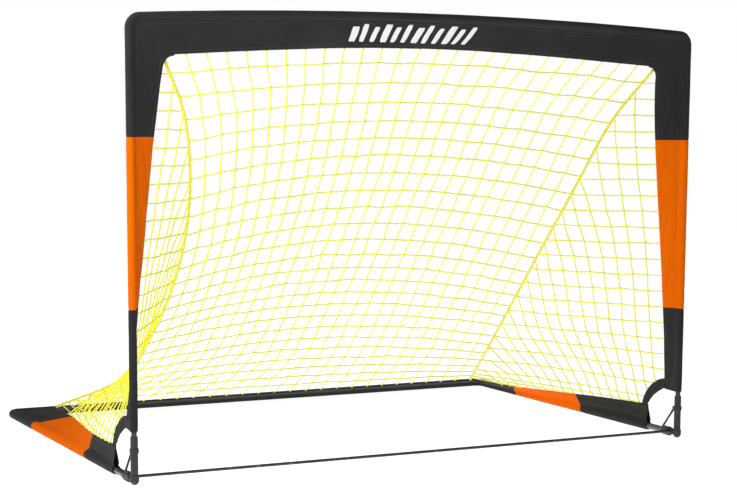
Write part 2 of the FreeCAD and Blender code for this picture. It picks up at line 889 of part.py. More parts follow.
def arch_fabric():
    bore, outside = size("arch_sleeve_bore"), size("arch_sleeve_dia")
    gap = size("seam_gap") / 2
    half_turn = math.degrees(BAR_END_ANGLE - POST_END_ANGLE) / 2
    for name, side in SIDES.items():
        low = size(f"{name}_post_low_seam")
        high = size(f"{name}_post_high_seam")
        spans = {"lower": (SLEEVE_BOTTOM, low), "middle": (low, high)}
        for part, (start, end) in spans.items():
            heights = spread(start + gap, end - gap, 7)
            rod = [post_point(side, z) for z in heights]
            edge = [post_edge(side, z) for z in heights]
            tunnel = ring_tube(rod[0], rod[-1], bore, outside)
            label = f"{name}_post_sleeve_{part}"
            fabric(label, tunnel, band_sheet(rod, edge, bore, outside))

        # Round the corner the band ends on the mitre from the bend to its inner corner.
        rod = [post_point(side, z) for z in spread(high + gap, POST_END.z, 6)]
        rod += [bend_point(side, share) for share in (0.25, 0.485)]
        heights = spread(high + gap, CORNER_Z - 8, 6) + [CORNER_Z - 5, CORNER_Z - 2]
        edge = [post_edge(side, z) for z in heights]
        straight = ring_tube(rod[0], mirrored(POST_END, side), bore, outside)
        bend = ring_bend(
            mirrored(BEND_CENTRE, side),
            mirrored(POST_IN * -BEND, side),
            Vector(0, -side, 0),
            half_turn - 0.6,
            bore,
            outside,
        )
        tunnel = straight.fuse(bend)
        band = band_sheet(rod, edge, bore, outside, (0, 3))
        fabric(f"{name}_post_sleeve_upper", tunnel, band)

    # Crossbar band, from mitre to mitre.
    rod = [bend_point(-1, 0.515), bend_point(-1, 0.75)]
    edge = [bar_edge(-CORNER_X + 2), bar_edge(-CORNER_X + 5)]
    for x in spread(-CORNER_X + 8, CORNER_X - 8, 15):
        rod.append(bar_point(x * BAR_END.x / (CORNER_X - 8)))
        edge.append(bar_edge(x))
    rod += [bend_point(1, 0.75), bend_point(1, 0.515)]
    edge += [bar_edge(CORNER_X - 5), bar_edge(CORNER_X - 2)]
    bend = [bend_point(1, share) for share in (1.0, 0.88, 0.76, 0.65, 0.54)]
    line = [mirrored(point, -1) for point in reversed(bend)]
    line += [bar_point(x) for x in spread(-BAR_END.x, BAR_END.x, 17)[1:-1]]
    tunnel = bowed_tunnel(line + bend, bore, outside)
    fabric("crossbar_sleeve", tunnel, band_sheet(rod, edge, bore, outside, (3, 3)))


def base_fabric():
    bore, outside = size("base_sleeve_bore"), size("base_sleeve_dia")
    bend = size("rear_bend")
    gap = size("seam_gap") / 2
    rear_seam = size("base_rear_seam")
    for name, side in SIDES.items():
        front_seam = size(f"{name}_base_front_seam")
        x = side * HALF_WIDTH
        spans = {"front": (BASE_START, front_seam), "middle": (front_seam, rear_seam)}
        for part, (start, end) in spans.items():
            backs = spread(start + gap, end - gap, 7)
            rod = [Vector(x, FRONT + back, BASE_Z) for back in backs]
            edge = [base_edge(side, base_edge_share(back)) for back in backs]
            tunnel = ring_tube(rod[0], rod[-1], bore, outside)
            label = f"{name}_base_sleeve_{part}"
            fabric(label, tunnel, band_sheet(rod, edge, bore, outside))

        backs = spread(rear_seam + gap, DEPTH - bend, 5)
        rod = [Vector(x, FRONT + back, BASE_Z) for back in backs]
        edge = [base_edge(side, base_edge_share(back)) for back in backs]
        centre = Vector(x - side * bend, REAR - bend, BASE_Z)
        for degrees, share in ((20, 0.984), (43.5, 0.992)):
            angle = math.radians(degrees)
            spoke = Vector(side * math.cos(angle), math.sin(angle), 0) * bend
            rod.append(centre + spoke)
            edge.append(base_edge(side, share))
        tunnel = ring_tube(rod[0], rod[len(backs) - 1], bore, outside)
        corner = ring_bend(
            centre, Vector(side * bend, 0, 0), Vector(0, 0, side), 43.5, bore, outside
        )
        label = f"{name}_base_sleeve_rear"
        band = band_sheet(rod, edge, bore, outside, (0, 3))
        fabric(label, tunnel.fuse(corner), band)

    # Rear band, from mitre to mitre.
    inner = HALF_WIDTH - EDGE_END.x
    rod, edge = [], []
    for side in (-1, 1):
        centre = Vector(side * (HALF_WIDTH - bend), REAR - bend, BASE_Z)
        turned = []
        for degrees in (46.5, 70):
            angle = math.radians(degrees)
            turned.append(centre + Vector(side * math.cos(angle), math.sin(angle), 0) * bend)
        ends = [Vector(side * (inner - k), REAR - 84, EDGE_END.z) for k in (4, 7)]
        if side > 0:
            turned.reverse()
            ends.reverse()
            xs = spread(-HALF_WIDTH + bend, HALF_WIDTH - bend, 9)
            rod += [Vector(x, REAR, BASE_Z) for x in xs]
            scale = (inner - 10) / (HALF_WIDTH - bend)
            edge += [Vector(x * scale, REAR - 84, EDGE_END.z) for x in xs]
        rod += turned
        edge += ends
    across = ring_tube(
        Vector(-HALF_WIDTH + bend, REAR, BASE_Z),
        Vector(HALF_WIDTH - bend, REAR, BASE_Z),
        bore,
        outside,
    )
    tunnels = [across]
    for side in SIDES.values():
        centre = Vector(side * (HALF_WIDTH - bend), REAR - bend, BASE_Z)
        spoke = Vector(0, bend, 0)
        tunnels.append(
            ring_bend(centre, spoke, Vector(0, 0, -side), 43.5, bore, outside)
        )
    fabric("rear_base_sleeve", tunnels, band_sheet(rod, edge, bore, outside, (3, 3)))


# Curved tie of band fabric at each front corner, in the plane of the side net.
TIE_TOP_OUTER = Vector(0, 54, 126)
TIE_TOP_INNER = Vector(0, 54, 104)
TIE_END_OUTER = Vector(0, 132, 63.5)
TIE_END_INNER = Vector(0, 110, 63.5)


def corner_tie(name, side):
    centre = Vector(side * (HALF_WIDTH - 1), FRONT, 0)

    def flat(point):
        return Vector(point.y, point.z, 0)

    outer = [flat(TIE_TOP_OUTER), Vector(100, 105, 0), flat(TIE_END_OUTER)]
    inner = [flat(TIE_TOP_INNER), Vector(86, 85, 0), flat(TIE_END_INNER)]
    outline = [
        Part.Arc(*outer),
        Part.LineSegment(outer[2], inner[2]),
        Part.Arc(*reversed(inner)),
        Part.LineSegment(inner[0], outer[0]),
    ]
    body = plate(f"{name}_corner_tie", "sizes.band_thick - 0.4", centre, outline)
    keep(body, f"{name}_corner_tie")


# ---------------------------------------------------------------- net


def side_front(side, share):
    """The side net's front edge: down the post band, then round the corner tie."""
    turn = 0.8
    if share < turn:
        z = CORNER_Z - 8 + (TIE_TOP_OUTER.z + 6 - CORNER_Z + 8) * share / turn
        return post_edge(side, z) + Vector(-side * 1.5, 3.5, 0)
    step = (share - turn) / (1 - turn)
    y = TIE_TOP_OUTER.y + 5 + (TIE_END_OUTER.y - TIE_TOP_OUTER.y) * math.sin(step * math.pi / 2)
    z = TIE_TOP_OUTER.z + 4 - (TIE_TOP_OUTER.z - TIE_END_OUTER.z) * (
        1 - math.cos(step * math.pi / 2)
    )
    return Vector(side * (HALF_WIDTH - 1 - 3 * step), FRONT + y, z)


def side_net_grid(side, rows, columns):
    """Points of a side net: rows run back from the front edge to the edge cord."""
    clear = size("edge_cord_dia") / 2 + 1.5
    grid = []
    for share in spread(0.05, 1, rows):
        front, cord = side_front(side, share), cord_point(side, share)
        line = []
        run = cord - front
        for k in spread(0.0, 1 - clear / run.Length, columns):
            point = front + run * k
            # towards the ground the rows follow the curved edge of the base band
            sole = base_edge(side, 0.045 + 0.935 * k) + Vector(-side * 2, 0, 3)
            straight = side_front(side, 1) + (cord_point(side, 1) - side_front(side, 1)) * k
            point += (sole - straight) * share**6
            point += Vector(-side, 0, 0) * size("side_bulge") * 4 * k * (1 - k) * share * (1 - share**4)
            line.append(point)
        grid.append(line)
    return grid


def back_net_grid(rows, columns):
    """Points of the roof and back net, between the two edge cords."""
    clear = size("edge_cord_dia") / 2 + 1.5
    grid = []
    for share in spread(0.006, 0.995, rows):
        cord = cord_point(1, share)
        line = []
        for k in spread(-1, 1, columns):
            x = k * (cord.x - clear)
            top = bar_edge(x) + Vector(0, 3, -4)
            head = cord_point(1, 0)
            lift = Vector(0, top.y - head.y, top.z - head.z) * (1 - share) ** 3
            foot = Vector(0, EDGE_END.y - 5 - cord_point(1, 1).y, 0) * share**8
            bulge = Vector(0, 0.72, 0.69) * size("net_bulge")
            bulge *= 4 * share * (1 - share) * (1 - k * k)
            point = Vector(x, cord.y, cord.z) + lift + foot + bulge
            line.append(point)
        grid.append(line)
    return grid


def net():
    thickness = size("net_thick")
    feature("back_net", thick_sheet(back_net_grid(13, 9), thickness))
    for name, side in SIDES.items():
        feature(f"{name}_side_net", thick_sheet(side_net_grid(side, 11, 7), thickness))
        points = [cord_point(side, share) for share in spread(0, 1, 25)]
        feature(f"{name}_edge_cord", cord_solid(points, size("edge_cord_dia")))


# ---------------------------------------------------------------- build and write out

for corner, direction in SIDES.items():
    corner_steel(corner, direction)
    corner_tie(corner, direction)
ground_bar()
arch_rods()
base_rods()
arch_fabric()
base_fabric()
net()
doc.recompute()

for obj in doc.Objects:
    if {"Invalid", "Error"} & set(obj.State):
        raise SystemExit(f"{obj.Name} failed: {obj.State}")
for obj in parts:
    if obj.Shape.isNull() or not obj.Shape.isValid() or not obj.Shape.Solids:
        raise SystemExit(f"{obj.Label} has no valid solid")

os.makedirs("parts", exist_ok=True)
for obj in parts:
    obj.Shape.exportStep(f"parts/{obj.Label}.step")
    print(f"{obj.Label:28s} {len(obj.Shape.Solids)} {obj.Shape.Volume:12.1f}")
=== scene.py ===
import math
import random
from collections import namedtuple

import bpy
from mathutils import Matrix, Vector


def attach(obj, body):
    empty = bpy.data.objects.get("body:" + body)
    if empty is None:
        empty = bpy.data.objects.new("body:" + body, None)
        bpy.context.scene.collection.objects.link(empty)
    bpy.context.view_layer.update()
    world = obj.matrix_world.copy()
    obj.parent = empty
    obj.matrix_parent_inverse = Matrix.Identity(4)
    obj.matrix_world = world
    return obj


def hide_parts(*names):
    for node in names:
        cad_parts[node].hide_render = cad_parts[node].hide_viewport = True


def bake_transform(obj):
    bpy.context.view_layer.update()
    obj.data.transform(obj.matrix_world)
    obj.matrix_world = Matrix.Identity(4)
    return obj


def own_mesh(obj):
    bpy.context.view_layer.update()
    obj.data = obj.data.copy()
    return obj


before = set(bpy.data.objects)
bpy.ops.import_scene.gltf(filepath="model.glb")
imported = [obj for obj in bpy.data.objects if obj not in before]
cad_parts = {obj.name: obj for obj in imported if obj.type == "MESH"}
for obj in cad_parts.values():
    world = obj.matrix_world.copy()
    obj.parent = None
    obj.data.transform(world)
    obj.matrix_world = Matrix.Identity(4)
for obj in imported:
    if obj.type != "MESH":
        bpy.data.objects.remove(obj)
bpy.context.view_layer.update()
random.seed(7)

# ---- sizes, metres
# The goal's own sizes, the same as in the CAD sheet.
HALF_WIDTH = 0.635
DEPTH = 0.875
SIDE_HEIGHT = 0.892
POST_LEAN = 0.010
RISE = 0.0185
BASE_Z = 0.010
ARCH_SLEEVE_DIA, BASE_SLEEVE_DIA = 0.0164, 0.020
FRONT = -(DEPTH + BASE_SLEEVE_DIA / 2 - ARCH_SLEEVE_DIA / 2) / 2
REAR = FRONT + DEPTH
BAND = 0.075
BEND = 0.022
REAR_BEND = 0.020
SLEEVE_BOTTOM = 0.103
BASE_START = 0.108
SIDES = {"left": -1, "right": 1}
# Where the orange panel starts and ends along each post and base rod.
SEAMS = {
    "left": {"post": (0.337, 0.665), "base": (0.293, 0.678)},
    "right": {"post": (0.289, 0.662), "base": (0.378, 0.678)},
}

HALF_TOP = HALF_WIDTH + POST_LEAN
BAR_RADIUS = (HALF_TOP**2 + RISE**2) / (2 * RISE)
BAR_CENTRE = Vector((0, FRONT, SIDE_HEIGHT + RISE - BAR_RADIUS))
LEAN = math.atan2(POST_LEAN, SIDE_HEIGHT)
POST_UP = Vector((math.sin(LEAN), 0, math.cos(LEAN)))
POST_IN = Vector((-math.cos(LEAN), 0, math.sin(LEAN)))
POST_FOOT = Vector((HALF_WIDTH, FRONT, 0))


def corner_centre():
    """The centre of the right top bend, which touches both the post and the crossbar's arc."""
    start = POST_FOOT + POST_IN * BEND - BAR_CENTRE
    along = start.dot(POST_UP)
    run = -along + math.sqrt(along**2 - start.dot(start) + (BAR_RADIUS - BEND) ** 2)
    return POST_FOOT + POST_IN * BEND + POST_UP * run


BEND_CENTRE = corner_centre()
POST_END = BEND_CENTRE - POST_IN * BEND
BAR_OUT = (BEND_CENTRE - BAR_CENTRE).normalized()
BAR_END = BAR_CENTRE + BAR_OUT * BAR_RADIUS
POST_ANGLE = math.atan2(-POST_IN.z, -POST_IN.x)
BAR_ANGLE = math.atan2(BAR_OUT.z, BAR_OUT.x)


def mirrored(p, side):
    return Vector((side * p.x, p.y, p.z))


def post_point(side, z):
    return mirrored(POST_FOOT + POST_UP * (z / POST_UP.z), side)


def bar_point(x):
    return Vector((x, FRONT, BAR_CENTRE.z + math.sqrt(BAR_RADIUS**2 - x * x)))


def bend_point(side, share):
    a = POST_ANGLE + share * (BAR_ANGLE - POST_ANGLE)
    return mirrored(BEND_CENTRE + Vector((math.cos(a), 0, math.sin(a))) * BEND, side)


# The mouth's inner corner, where post band and crossbar band meet.
CORNER_BACK = 0.010
CORNER_X = HALF_TOP - BAND
CORNER_Z = bar_point(CORNER_X).z - math.sqrt(BAND**2 - CORNER_BACK**2)


def clamp(v, low=0.0, high=1.0):
    return min(max(v, low), high)


def smooth(v):
    v = clamp(v)
    return v * v * (3 - 2 * v)


def mix(a, b, t):
    return a + (b - a) * t


def post_edge(side, z):
    """Free edge of the post band: across the mouth at the top, straight back below."""
    middle_back, foot_back = 0.034, 0.050
    t = (z - SLEEVE_BOTTOM) / (CORNER_Z - SLEEVE_BOTTOM)
    back = middle_back + (foot_back - middle_back) * (1 - t) ** 4
    back -= (middle_back - CORNER_BACK) * clamp(t) ** 8
    return post_point(side, z) + Vector((-side * BAND * t, back, 0))


def bar_edge(x):
    """Free edge of the crossbar band, which leans back most at the middle."""
    back = CORNER_BACK + 0.032 * (1 - (x / CORNER_X) ** 2)
    return bar_point(x) + Vector((0, back, -math.sqrt(BAND**2 - back**2)))


# The side base band's free edge: its two ends' places back, heights and inset.
EDGE_FRONT, EDGE_REAR = 0.112, 0.791
EDGE_HIGH, EDGE_LOW = 0.060, 0.030
EDGE_INSET = 0.078


def base_edge(side, v):
    """Free edge of the side base band: upright in front, nearly flat behind."""
    y = mix(FRONT + EDGE_FRONT, FRONT + EDGE_REAR, v)
    z = mix(EDGE_HIGH, EDGE_LOW, v)
    return Vector((side * (HALF_WIDTH - EDGE_INSET * smooth(v)), y, z))


def base_edge_place(back):
    """The share of the edge at a distance back from the post."""
    return (back - EDGE_FRONT) / (EDGE_REAR - EDGE_FRONT)


def base_edge_share(back):
    """The share of the edge that belongs to a place on the rod; the cloth draws forward."""
    s = (back - BASE_START) / (DEPTH - BASE_START)
    return base_edge_place(back + 0.004 - 0.088 * smooth((s - 0.25) / 0.5))


CORD_ROUTE = [
    (CORNER_X - 0.002, 0.020, CORNER_Z - 0.006),
    (0.501, 0.082, 0.700),
    (0.460, 0.163, 0.550),
    (0.440, 0.275, 0.400),
    (0.442, 0.416, 0.250),
    (0.468, 0.575, 0.120),
    (0.553, 0.783, 0.033),
]


def cord_point(side, share):
    """The edge cord between roof net and side net: a smooth curve through its route."""
    spans = len(CORD_ROUTE) - 1
    i = min(int(share * spans), spans - 1)
    t = share * spans - i
    p = [Vector(CORD_ROUTE[int(clamp(i + k, 0, spans))]) for k in (-1, 0, 1, 2)]
    if i == 0:
        p[0] = p[1] * 2 - p[2]
    if i == spans - 1:
        p[3] = p[2] * 2 - p[1]
    q = (
        p[1] * 2
        + (p[2] - p[0]) * t
        + (p[0] * 2 - p[1] * 5 + p[2] * 4 - p[3]) * t**2
        + (p[1] * 3 - p[0] - p[2] * 3 + p[3]) * t**3
    ) * 0.5
    return Vector((side * q.x, FRONT + q.y, q.z))


# ---- materials

THREAD_PITCH = 0.0011


class Nodes:
    """Small helper that adds and links shader nodes."""

    def __init__(self, name, base, roughness, metallic=0.0, **sockets):
        self.mat = bpy.data.materials.new(name)
        self.mat.use_nodes = True
        self.tree = self.mat.node_tree
        self.shader = self.tree.nodes["Principled BSDF"]
        sockets.update(Base_Color=(*base, 1), Roughness=roughness, Metallic=metallic)
        for key, value in sockets.items():
            self.shader.inputs[key.replace("_", " ")].default_value = value

    def add(self, kind, links=None, **settings):
        node = self.tree.nodes.new(kind)
        for key, value in settings.items():
            if key in node.inputs.keys():
                node.inputs[key].default_value = value
            else:
                setattr(node, key, value)
        for key, source in (links or {}).items():
            self.tree.links.new(source, node.inputs[key])
        return node

    def value(self, operation, a, b=None):
        node = self.tree.nodes.new("ShaderNodeMath")
        node.operation = operation
        for i, item in enumerate((a, b)):
            if isinstance(item, (int, float)):
                node.inputs[i].default_value = item
            elif item is not None:
                self.tree.links.new(item, node.inputs[i])
        return node.outputs[0]

    def total(self, *terms):
        """The sum of sockets, each times its own number."""
        parts = [s if k == 1 else self.value("MULTIPLY", s, k) for s, k in terms]
        whole = parts[0]
        for part in parts[1:]:
            whole = self.value("ADD", whole, part)
        return whole

    def noise(self, scale, detail, place=None):
        place = place or self.add("ShaderNodeTexCoord").outputs["Object"]
        node = self.add("ShaderNodeTexNoise", {"Vector": place}, Scale=scale, Detail=detail)
        return node.outputs[0]

    def uv(self):
        uv = self.add("ShaderNodeUVMap", uv_map="UVMap").outputs[0]
        return self.add("ShaderNodeSeparateXYZ", {"Vector": uv}).outputs[:2]

    def mapped(self, source, low, high, to_low, to_high):
        node = self.add("ShaderNodeMapRange", {"Value": source})
        for key, v in zip(("From Min", "From Max", "To Min", "To Max"),
                          (low, high, to_low, to_high)):
            node.inputs[key].default_value = v
        return node.outputs[0]

    def blend(self, factor, a, b):
        """A colour mix; a and b are colours or sockets."""
        node = self.tree.nodes.new("ShaderNodeMix")
        node.data_type = "RGBA"
        self.tree.links.new(factor, node.inputs[0])
        for i, item in ((6, a), (7, b)):
            if isinstance(item, tuple):
                node.inputs[i].default_value = (*item, 1)
            else:
                self.tree.links.new(item, node.inputs[i])
        return node.outputs[2]

    def set(self, name, socket):
        self.tree.links.new(socket, self.shader.inputs[name])

    def bump(self, height, strength, distance):
        node = self.add("ShaderNodeBump", {"Height": height})
        node.inputs["Strength"].default_value = strength
        node.inputs["Distance"].default_value = distance
        self.set("Normal", node.outputs[0])


def cloth(name, light, dark, sheen=0.03, gloss=0.2):
    """Plain-woven polyester on UVs in metres, with soft creases, lint, a slight sheen and painted
    shade in the gaps between the threads.
    """
    n = Nodes(name, light, 0.82, Sheen_Weight=sheen, Sheen_Roughness=0.45,
              Specular_IOR_Level=gloss)
    turns = 2 * math.pi / THREAD_PITCH
    su, sv = (n.value("SINE", n.value("MULTIPLY", way, turns)) for way in n.uv())
    over_under = n.value("MULTIPLY", su, sv)
    ripple = n.value("ADD", n.value("ABSOLUTE", su), n.value("ABSOLUTE", sv))
    weave = n.total((over_under, 0.6), (ripple, 0.25))
    cloud, fine, crease = n.noise(9.0, 4.0), n.noise(900.0, 2.0), n.noise(38.0, 3.0)
    colour = n.blend(n.mapped(cloud, 0.3, 0.7, 0.0, 1.0), dark, light)
    # painted shade: where the weave is low, in the hollows between threads, the colour is
    # darkened towards a deep copy of the dark colour
    between = n.mapped(weave, -0.7, 0.9, 0.55, 0.0)
    colour = n.blend(between, colour, tuple(c * 0.45 for c in dark))
    lint = n.mapped(fine, 0.62, 0.78, 0.0, 0.35)
    colour = n.blend(lint, colour, tuple(clamp(c * 1.5 + 0.02) for c in light))
    n.set("Base Color", colour)
    n.set("Roughness", n.mapped(fine, 0.3, 0.7, 0.72, 0.92))
    n.bump(n.total((weave, 0.10), (crease, 1.1), (cloud, 2.2)), 0.75, 0.0022)
    return n.mat


def thread(name, colour):
    """Twisted sewing thread."""
    n = Nodes(name, colour, 0.6, Sheen_Weight=0.2)
    noise = n.noise(2600.0, 2.0)
    n.set("Base Color", n.blend(noise, tuple(c * 0.6 for c in colour), colour))
    n.bump(noise, 0.5, 0.0002)
    return n.mat


def net_cord(name, light, dark, twist=0.0042):
    """Laid polyethylene cord: strands wind round it once in each twist, in bump and in tone,
    where the grooves between the strands get painted shade.
    """
    n = Nodes(name, light, 0.5, Sheen_Weight=0.15, Specular_IOR_Level=0.4)
    u, v = n.uv()
    strands = n.value("SINE", n.total((u, 6 * math.pi), (v, 2 * math.pi / twist)))
    cloud, fibre = n.noise(14.0, 3.0), n.noise(1800.0, 2.0)
    # painted shade: the grooves between the laid strands, where the bump is low, are blended
    # towards the dark colour
    colour = n.blend(n.mapped(strands, -1.0, 0.4, 0.75, 0.0), light, dark)
    soil = n.mapped(cloud, 0.45, 0.75, 0.0, 0.35)
    n.set("Base Color", n.blend(soil, colour, tuple(c * 0.8 for c in dark)))
    n.set("Roughness", n.mapped(fibre, 0.3, 0.7, 0.38, 0.62))
    n.bump(n.total((strands, 1), (fibre, 0.5)), 0.3, 0.0002)
    return n.mat


def metal(name, light, dark, roughness):
    """Dull zinc-plated steel with upright drawing marks, spangle and clouded roughness."""
    n = Nodes(name, light, roughness, 0.9)
    place = n.add("ShaderNodeTexCoord").outputs["Object"]
    stretch = n.add("ShaderNodeMapping", {"Vector": place}, Scale=(1400, 1400, 40))
    marks, cloud = n.noise(1.0, 4.0, stretch.outputs[0]), n.noise(60.0, 5.0)
    spangle = n.add("ShaderNodeTexVoronoi", {"Vector": place}, Scale=320.0).outputs[0]
    tone = n.total((marks, 0.5), (cloud, 0.5))
    n.set("Base Color", n.blend(n.mapped(tone, 0.35, 0.65, 0.0, 1.0), dark, light))
    n.set("Roughness", n.mapped(cloud, 0.3, 0.7, roughness - 0.12, roughness + 0.18))
    n.bump(n.total((marks, 1), (spangle, 0.4)), 0.35, 0.0003)
    return n.mat


def coated(name, light, dark, roughness, speck, metallic=0.0):
    """Powder coat or moulded plastic: fine orange peel, scuffs and dust."""
    n = Nodes(name, light, roughness, metallic, Specular_IOR_Level=0.5)
    peel, scuff = n.noise(speck, 3.0), n.noise(85.0, 6.0)
    n.set("Base Color", n.blend(n.mapped(scuff, 0.58, 0.72, 0.0, 1.0), light, dark))
    n.set("Roughness", n.mapped(scuff, 0.3, 0.75, roughness - 0.08, roughness + 0.2))
    n.bump(n.total((peel, 1), (scuff, 0.3)), 0.4, 0.0002)
    return n.mat


BLACK = cloth("black_weave", (0.032, 0.032, 0.033), (0.020, 0.020, 0.021))
ORANGE = cloth("orange_weave", (1.0, 0.175, 0.0), (0.93, 0.155, 0.0), sheen=0.0, gloss=0.04)
WHITE_PRINT = cloth("white_print", (1.0, 1.0, 0.99), (0.94, 0.94, 0.93))
BLACK_THREAD = thread("black_thread", (0.045, 0.045, 0.047))
ORANGE_THREAD = thread("orange_thread", (0.75, 0.20, 0.01))
NET = net_cord("net_cord", (1.0, 0.97, 0.02), (0.93, 0.89, 0.012))
EDGE = net_cord("edge_cord", (0.93, 0.84, 0.01), (0.74, 0.66, 0.004), twist=0.012)
STEEL = metal("zinc_steel", (0.27, 0.27, 0.28), (0.15, 0.15, 0.155), 0.42)
DARK_STEEL = coated("dark_powder_coat", (0.030, 0.030, 0.032), (0.10, 0.10, 0.10),
                    0.42, 900.0, 0.3)
STRUT_COAT = coated("strut_coat", (0.010, 0.010, 0.011), (0.035, 0.035, 0.035), 0.45, 900.0)
BAR_COAT = coated("ground_bar_coat", (0.055, 0.055, 0.058), (0.20, 0.20, 0.20), 0.38, 900.0, 0.5)
PLASTIC = coated("moulded_plastic", (0.045, 0.045, 0.047), (0.10, 0.10, 0.10), 0.5, 1500.0)
ROD = coated("fibreglass_rod", (0.03, 0.03, 0.03), (0.07, 0.07, 0.07), 0.35, 700.0)

# ---- mesh building


def add_object(name, data):
    obj = bpy.data.objects.new(name, data)
    bpy.context.scene.collection.objects.link(obj)
    return obj


class Skin:
    """Collects points, faces and UVs, and makes one smooth-shaded object."""

    def __init__(self):
        self.points, self.faces, self.uvs = [], [], []

    def grid(self, rows, uv, closed=False):
        """A sheet of quads through rows of points; uv gives (u, v) for (row, column)."""
        start, count = len(self.points), len(rows[0])
        for row in rows:
            self.points.extend(tuple(p) for p in row)
        for i in range(len(rows) - 1):
            for j in range(count if closed else count - 1):
                k = (j + 1) % count
                ids = (i * count + j, i * count + k, (i + 1) * count + k, (i + 1) * count + j)
                self.faces.append(tuple(start + n for n in ids))
                wrap = count if closed and k == 0 else k
                self.uvs.append([uv(i, j), uv(i, wrap), uv(i + 1, wrap), uv(i + 1, j)])

    def tube(self, points, radius, sides=6, capped=False):
        """A round cord along points, with u round it and v along it in metres."""
        rings, lengths, far = [], [], 0.0
        up = Vector((0.31, 0.17, 0.93))  # a direction that no cord follows
        for i, p in enumerate(points):
            ahead = points[min(i + 1, len(points) - 1)] - points[max(i - 1, 0)]
            if ahead.length < 1e-9:
                ahead = Vector((0, 0, 1))
            ahead.normalize()
            out = ahead.cross(up).normalized()
            side = ahead.cross(out)
            turn = [2 * math.pi * k / sides for k in range(sides)]
            rings.append([p + out * (math.cos(a) * radius) + side * (math.sin(a) * radius)
                          for a in turn])
            if i:
                far += (p - points[i - 1]).length
            lengths.append(far)
        self.grid(rings, lambda i, j: (j / sides, lengths[i]), closed=True)
        first, last = len(self.points) - len(rings) * sides, len(self.points) - sides
        for start, order, v in ((first, -1, 0), (last, 1, far)) if capped else ():
            ids = range(sides)[::order]
            self.faces.append(tuple(start + k for k in ids))
            self.uvs.append([(k / sides, v) for k in ids])

    def knot(self, centre, radius, axis_a, axis_b):
        """A small two-lobed knot, wider along the cords than across the net."""
        a, b = axis_a.normalized(), axis_b.normalized()
        n = a.cross(b).normalized()
        b = n.cross(a)
        rings, levels, sides = [], 4, 8
        for i in range(levels + 1):
            lat = -math.pi / 2 + math.pi * i / levels
            ring = []
            for j in range(sides):
                lon = 2 * math.pi * j / sides
                lobes = 1 + 0.22 * math.cos(2 * lon)
                c = math.cos(lat) * radius * 1.25 * lobes + 1e-6
                offset = a * (c * math.cos(lon)) + b * (c * math.sin(lon))
                ring.append(centre + offset + n * (math.sin(lat) * radius * 0.95))
            rings.append(ring)
        self.grid(rings, lambda i, j: (j / sides, i * 0.001), closed=True)

    def build(self, name, material):
        mesh = bpy.data.meshes.new(name)
        mesh.from_pydata(self.points, [], self.faces)
        layer = mesh.uv_layers.new(name="UVMap")
        flat = [c for face in self.uvs for uv in face for c in uv]
        layer.data.foreach_set("uv", flat)
        mesh.polygons.foreach_set("use_smooth", [True] * len(mesh.polygons))
        mesh.materials.append(material)
        mesh.update()
        return add_object(name, mesh)


def spread(a, b, step):
    """Evenly spaced numbers from a to b, about a step apart."""
    count = max(2, int(round(abs(b - a) / step)) + 1)
    return [a + (b - a) * k / (count - 1) for k in range(count)]


def wave(x, seed):
    """A smooth made-up ripple of about unit height."""
    return (
        0.5 * math.sin(x * 21 + seed)
        + 0.3 * math.sin(x * 47 + seed * 2.3)
        + 0.2 * math.sin(x * 93 + seed * 4.1)
    )


# ---- fabric bands

STEP = 0.008
CORNER_STEPS = 6
CORNER_TURN = 0.006  # a free edge's last stretch, spread round the corner's bend
CORNER_SEAM = 0.0005  # it stops this short of the mouth's corner
MITRE_LAP = 0.02  # overlap of the panels at a front corner, as a share of the bend
REAR_LAP = 1.5  # the same at a rear corner, in degrees
ARCH_TUNNEL, BASE_TUNNEL = 0.0080, 0.0098
TUNNEL_STEPS = 20
TUNNEL_MOUTH = 28  # degrees left open each side of the band
BAND_COLUMNS = 16
CLOTH = 0.0011
ROOT_STITCH = 0.0045  # the tunnel's sewing line, outside the tunnel's radius
HEM_STITCH = 0.008  # the hem's sewing line, in from the free edge
STITCH_PITCH = 0.0046
STITCH_POINTS = (0, 0.0016, 0.0031)
STITCH_ROWS = ((0.0035, 0.0), (-HEM_STITCH, 0.0022))  # place across the band, phase along it
THREAD_RADIUS = 0.00042

Station = namedtuple("Station", "rod square normal edge far edge_normal")


def post_stations(side, low, high):
    """Pairs of rod point and free-edge point along a post sleeve."""
    return [(post_point(side, z), post_edge(side, z)) for z in spread(low, high, STEP)]


def upper_post_stations(side, low):
    pairs = []
    for z in spread(low, POST_END.z, STEP):
        t = (z - low) / (POST_END.z - low)
        edge = post_edge(side, mix(low, CORNER_Z - CORNER_TURN, t))
        pairs.append((post_point(side, z), edge))
    for k in range(1, CORNER_STEPS + 1):
        t = k / CORNER_STEPS
        edge = post_edge(side, mix(CORNER_Z - CORNER_TURN, CORNER_Z - CORNER_SEAM, t))
        pairs.append((bend_point(side, (0.5 + MITRE_LAP) * t), edge))
    return pairs


def both_corners(half, middle):
    """Stations from the left corner to the right one, given the right corner's."""
    left = [(mirrored(r, -1), mirrored(e, -1)) for r, e in half]
    return left + middle + half[::-1]


def crossbar_stations():
    half = []
    for k in range(CORNER_STEPS + 1):
        t = k / CORNER_STEPS
        edge = bar_edge(mix(CORNER_X - CORNER_SEAM, CORNER_X - CORNER_TURN, t))
        half.append((bend_point(1, mix(0.5 - MITRE_LAP, 1, t)), edge))
    middle = []
    for x in spread(-BAR_END.x, BAR_END.x, STEP)[1:-1]:
        middle.append((bar_point(x), bar_edge(x * (CORNER_X - CORNER_TURN) / BAR_END.x)))
    return both_corners(half, middle)


def base_stations(side, low, high):
    pairs = []
    for back in spread(low, high, STEP):
        rod = Vector((side * HALF_WIDTH, FRONT + back, BASE_Z))
        pairs.append((rod, base_edge(side, base_edge_share(back))))
    return pairs


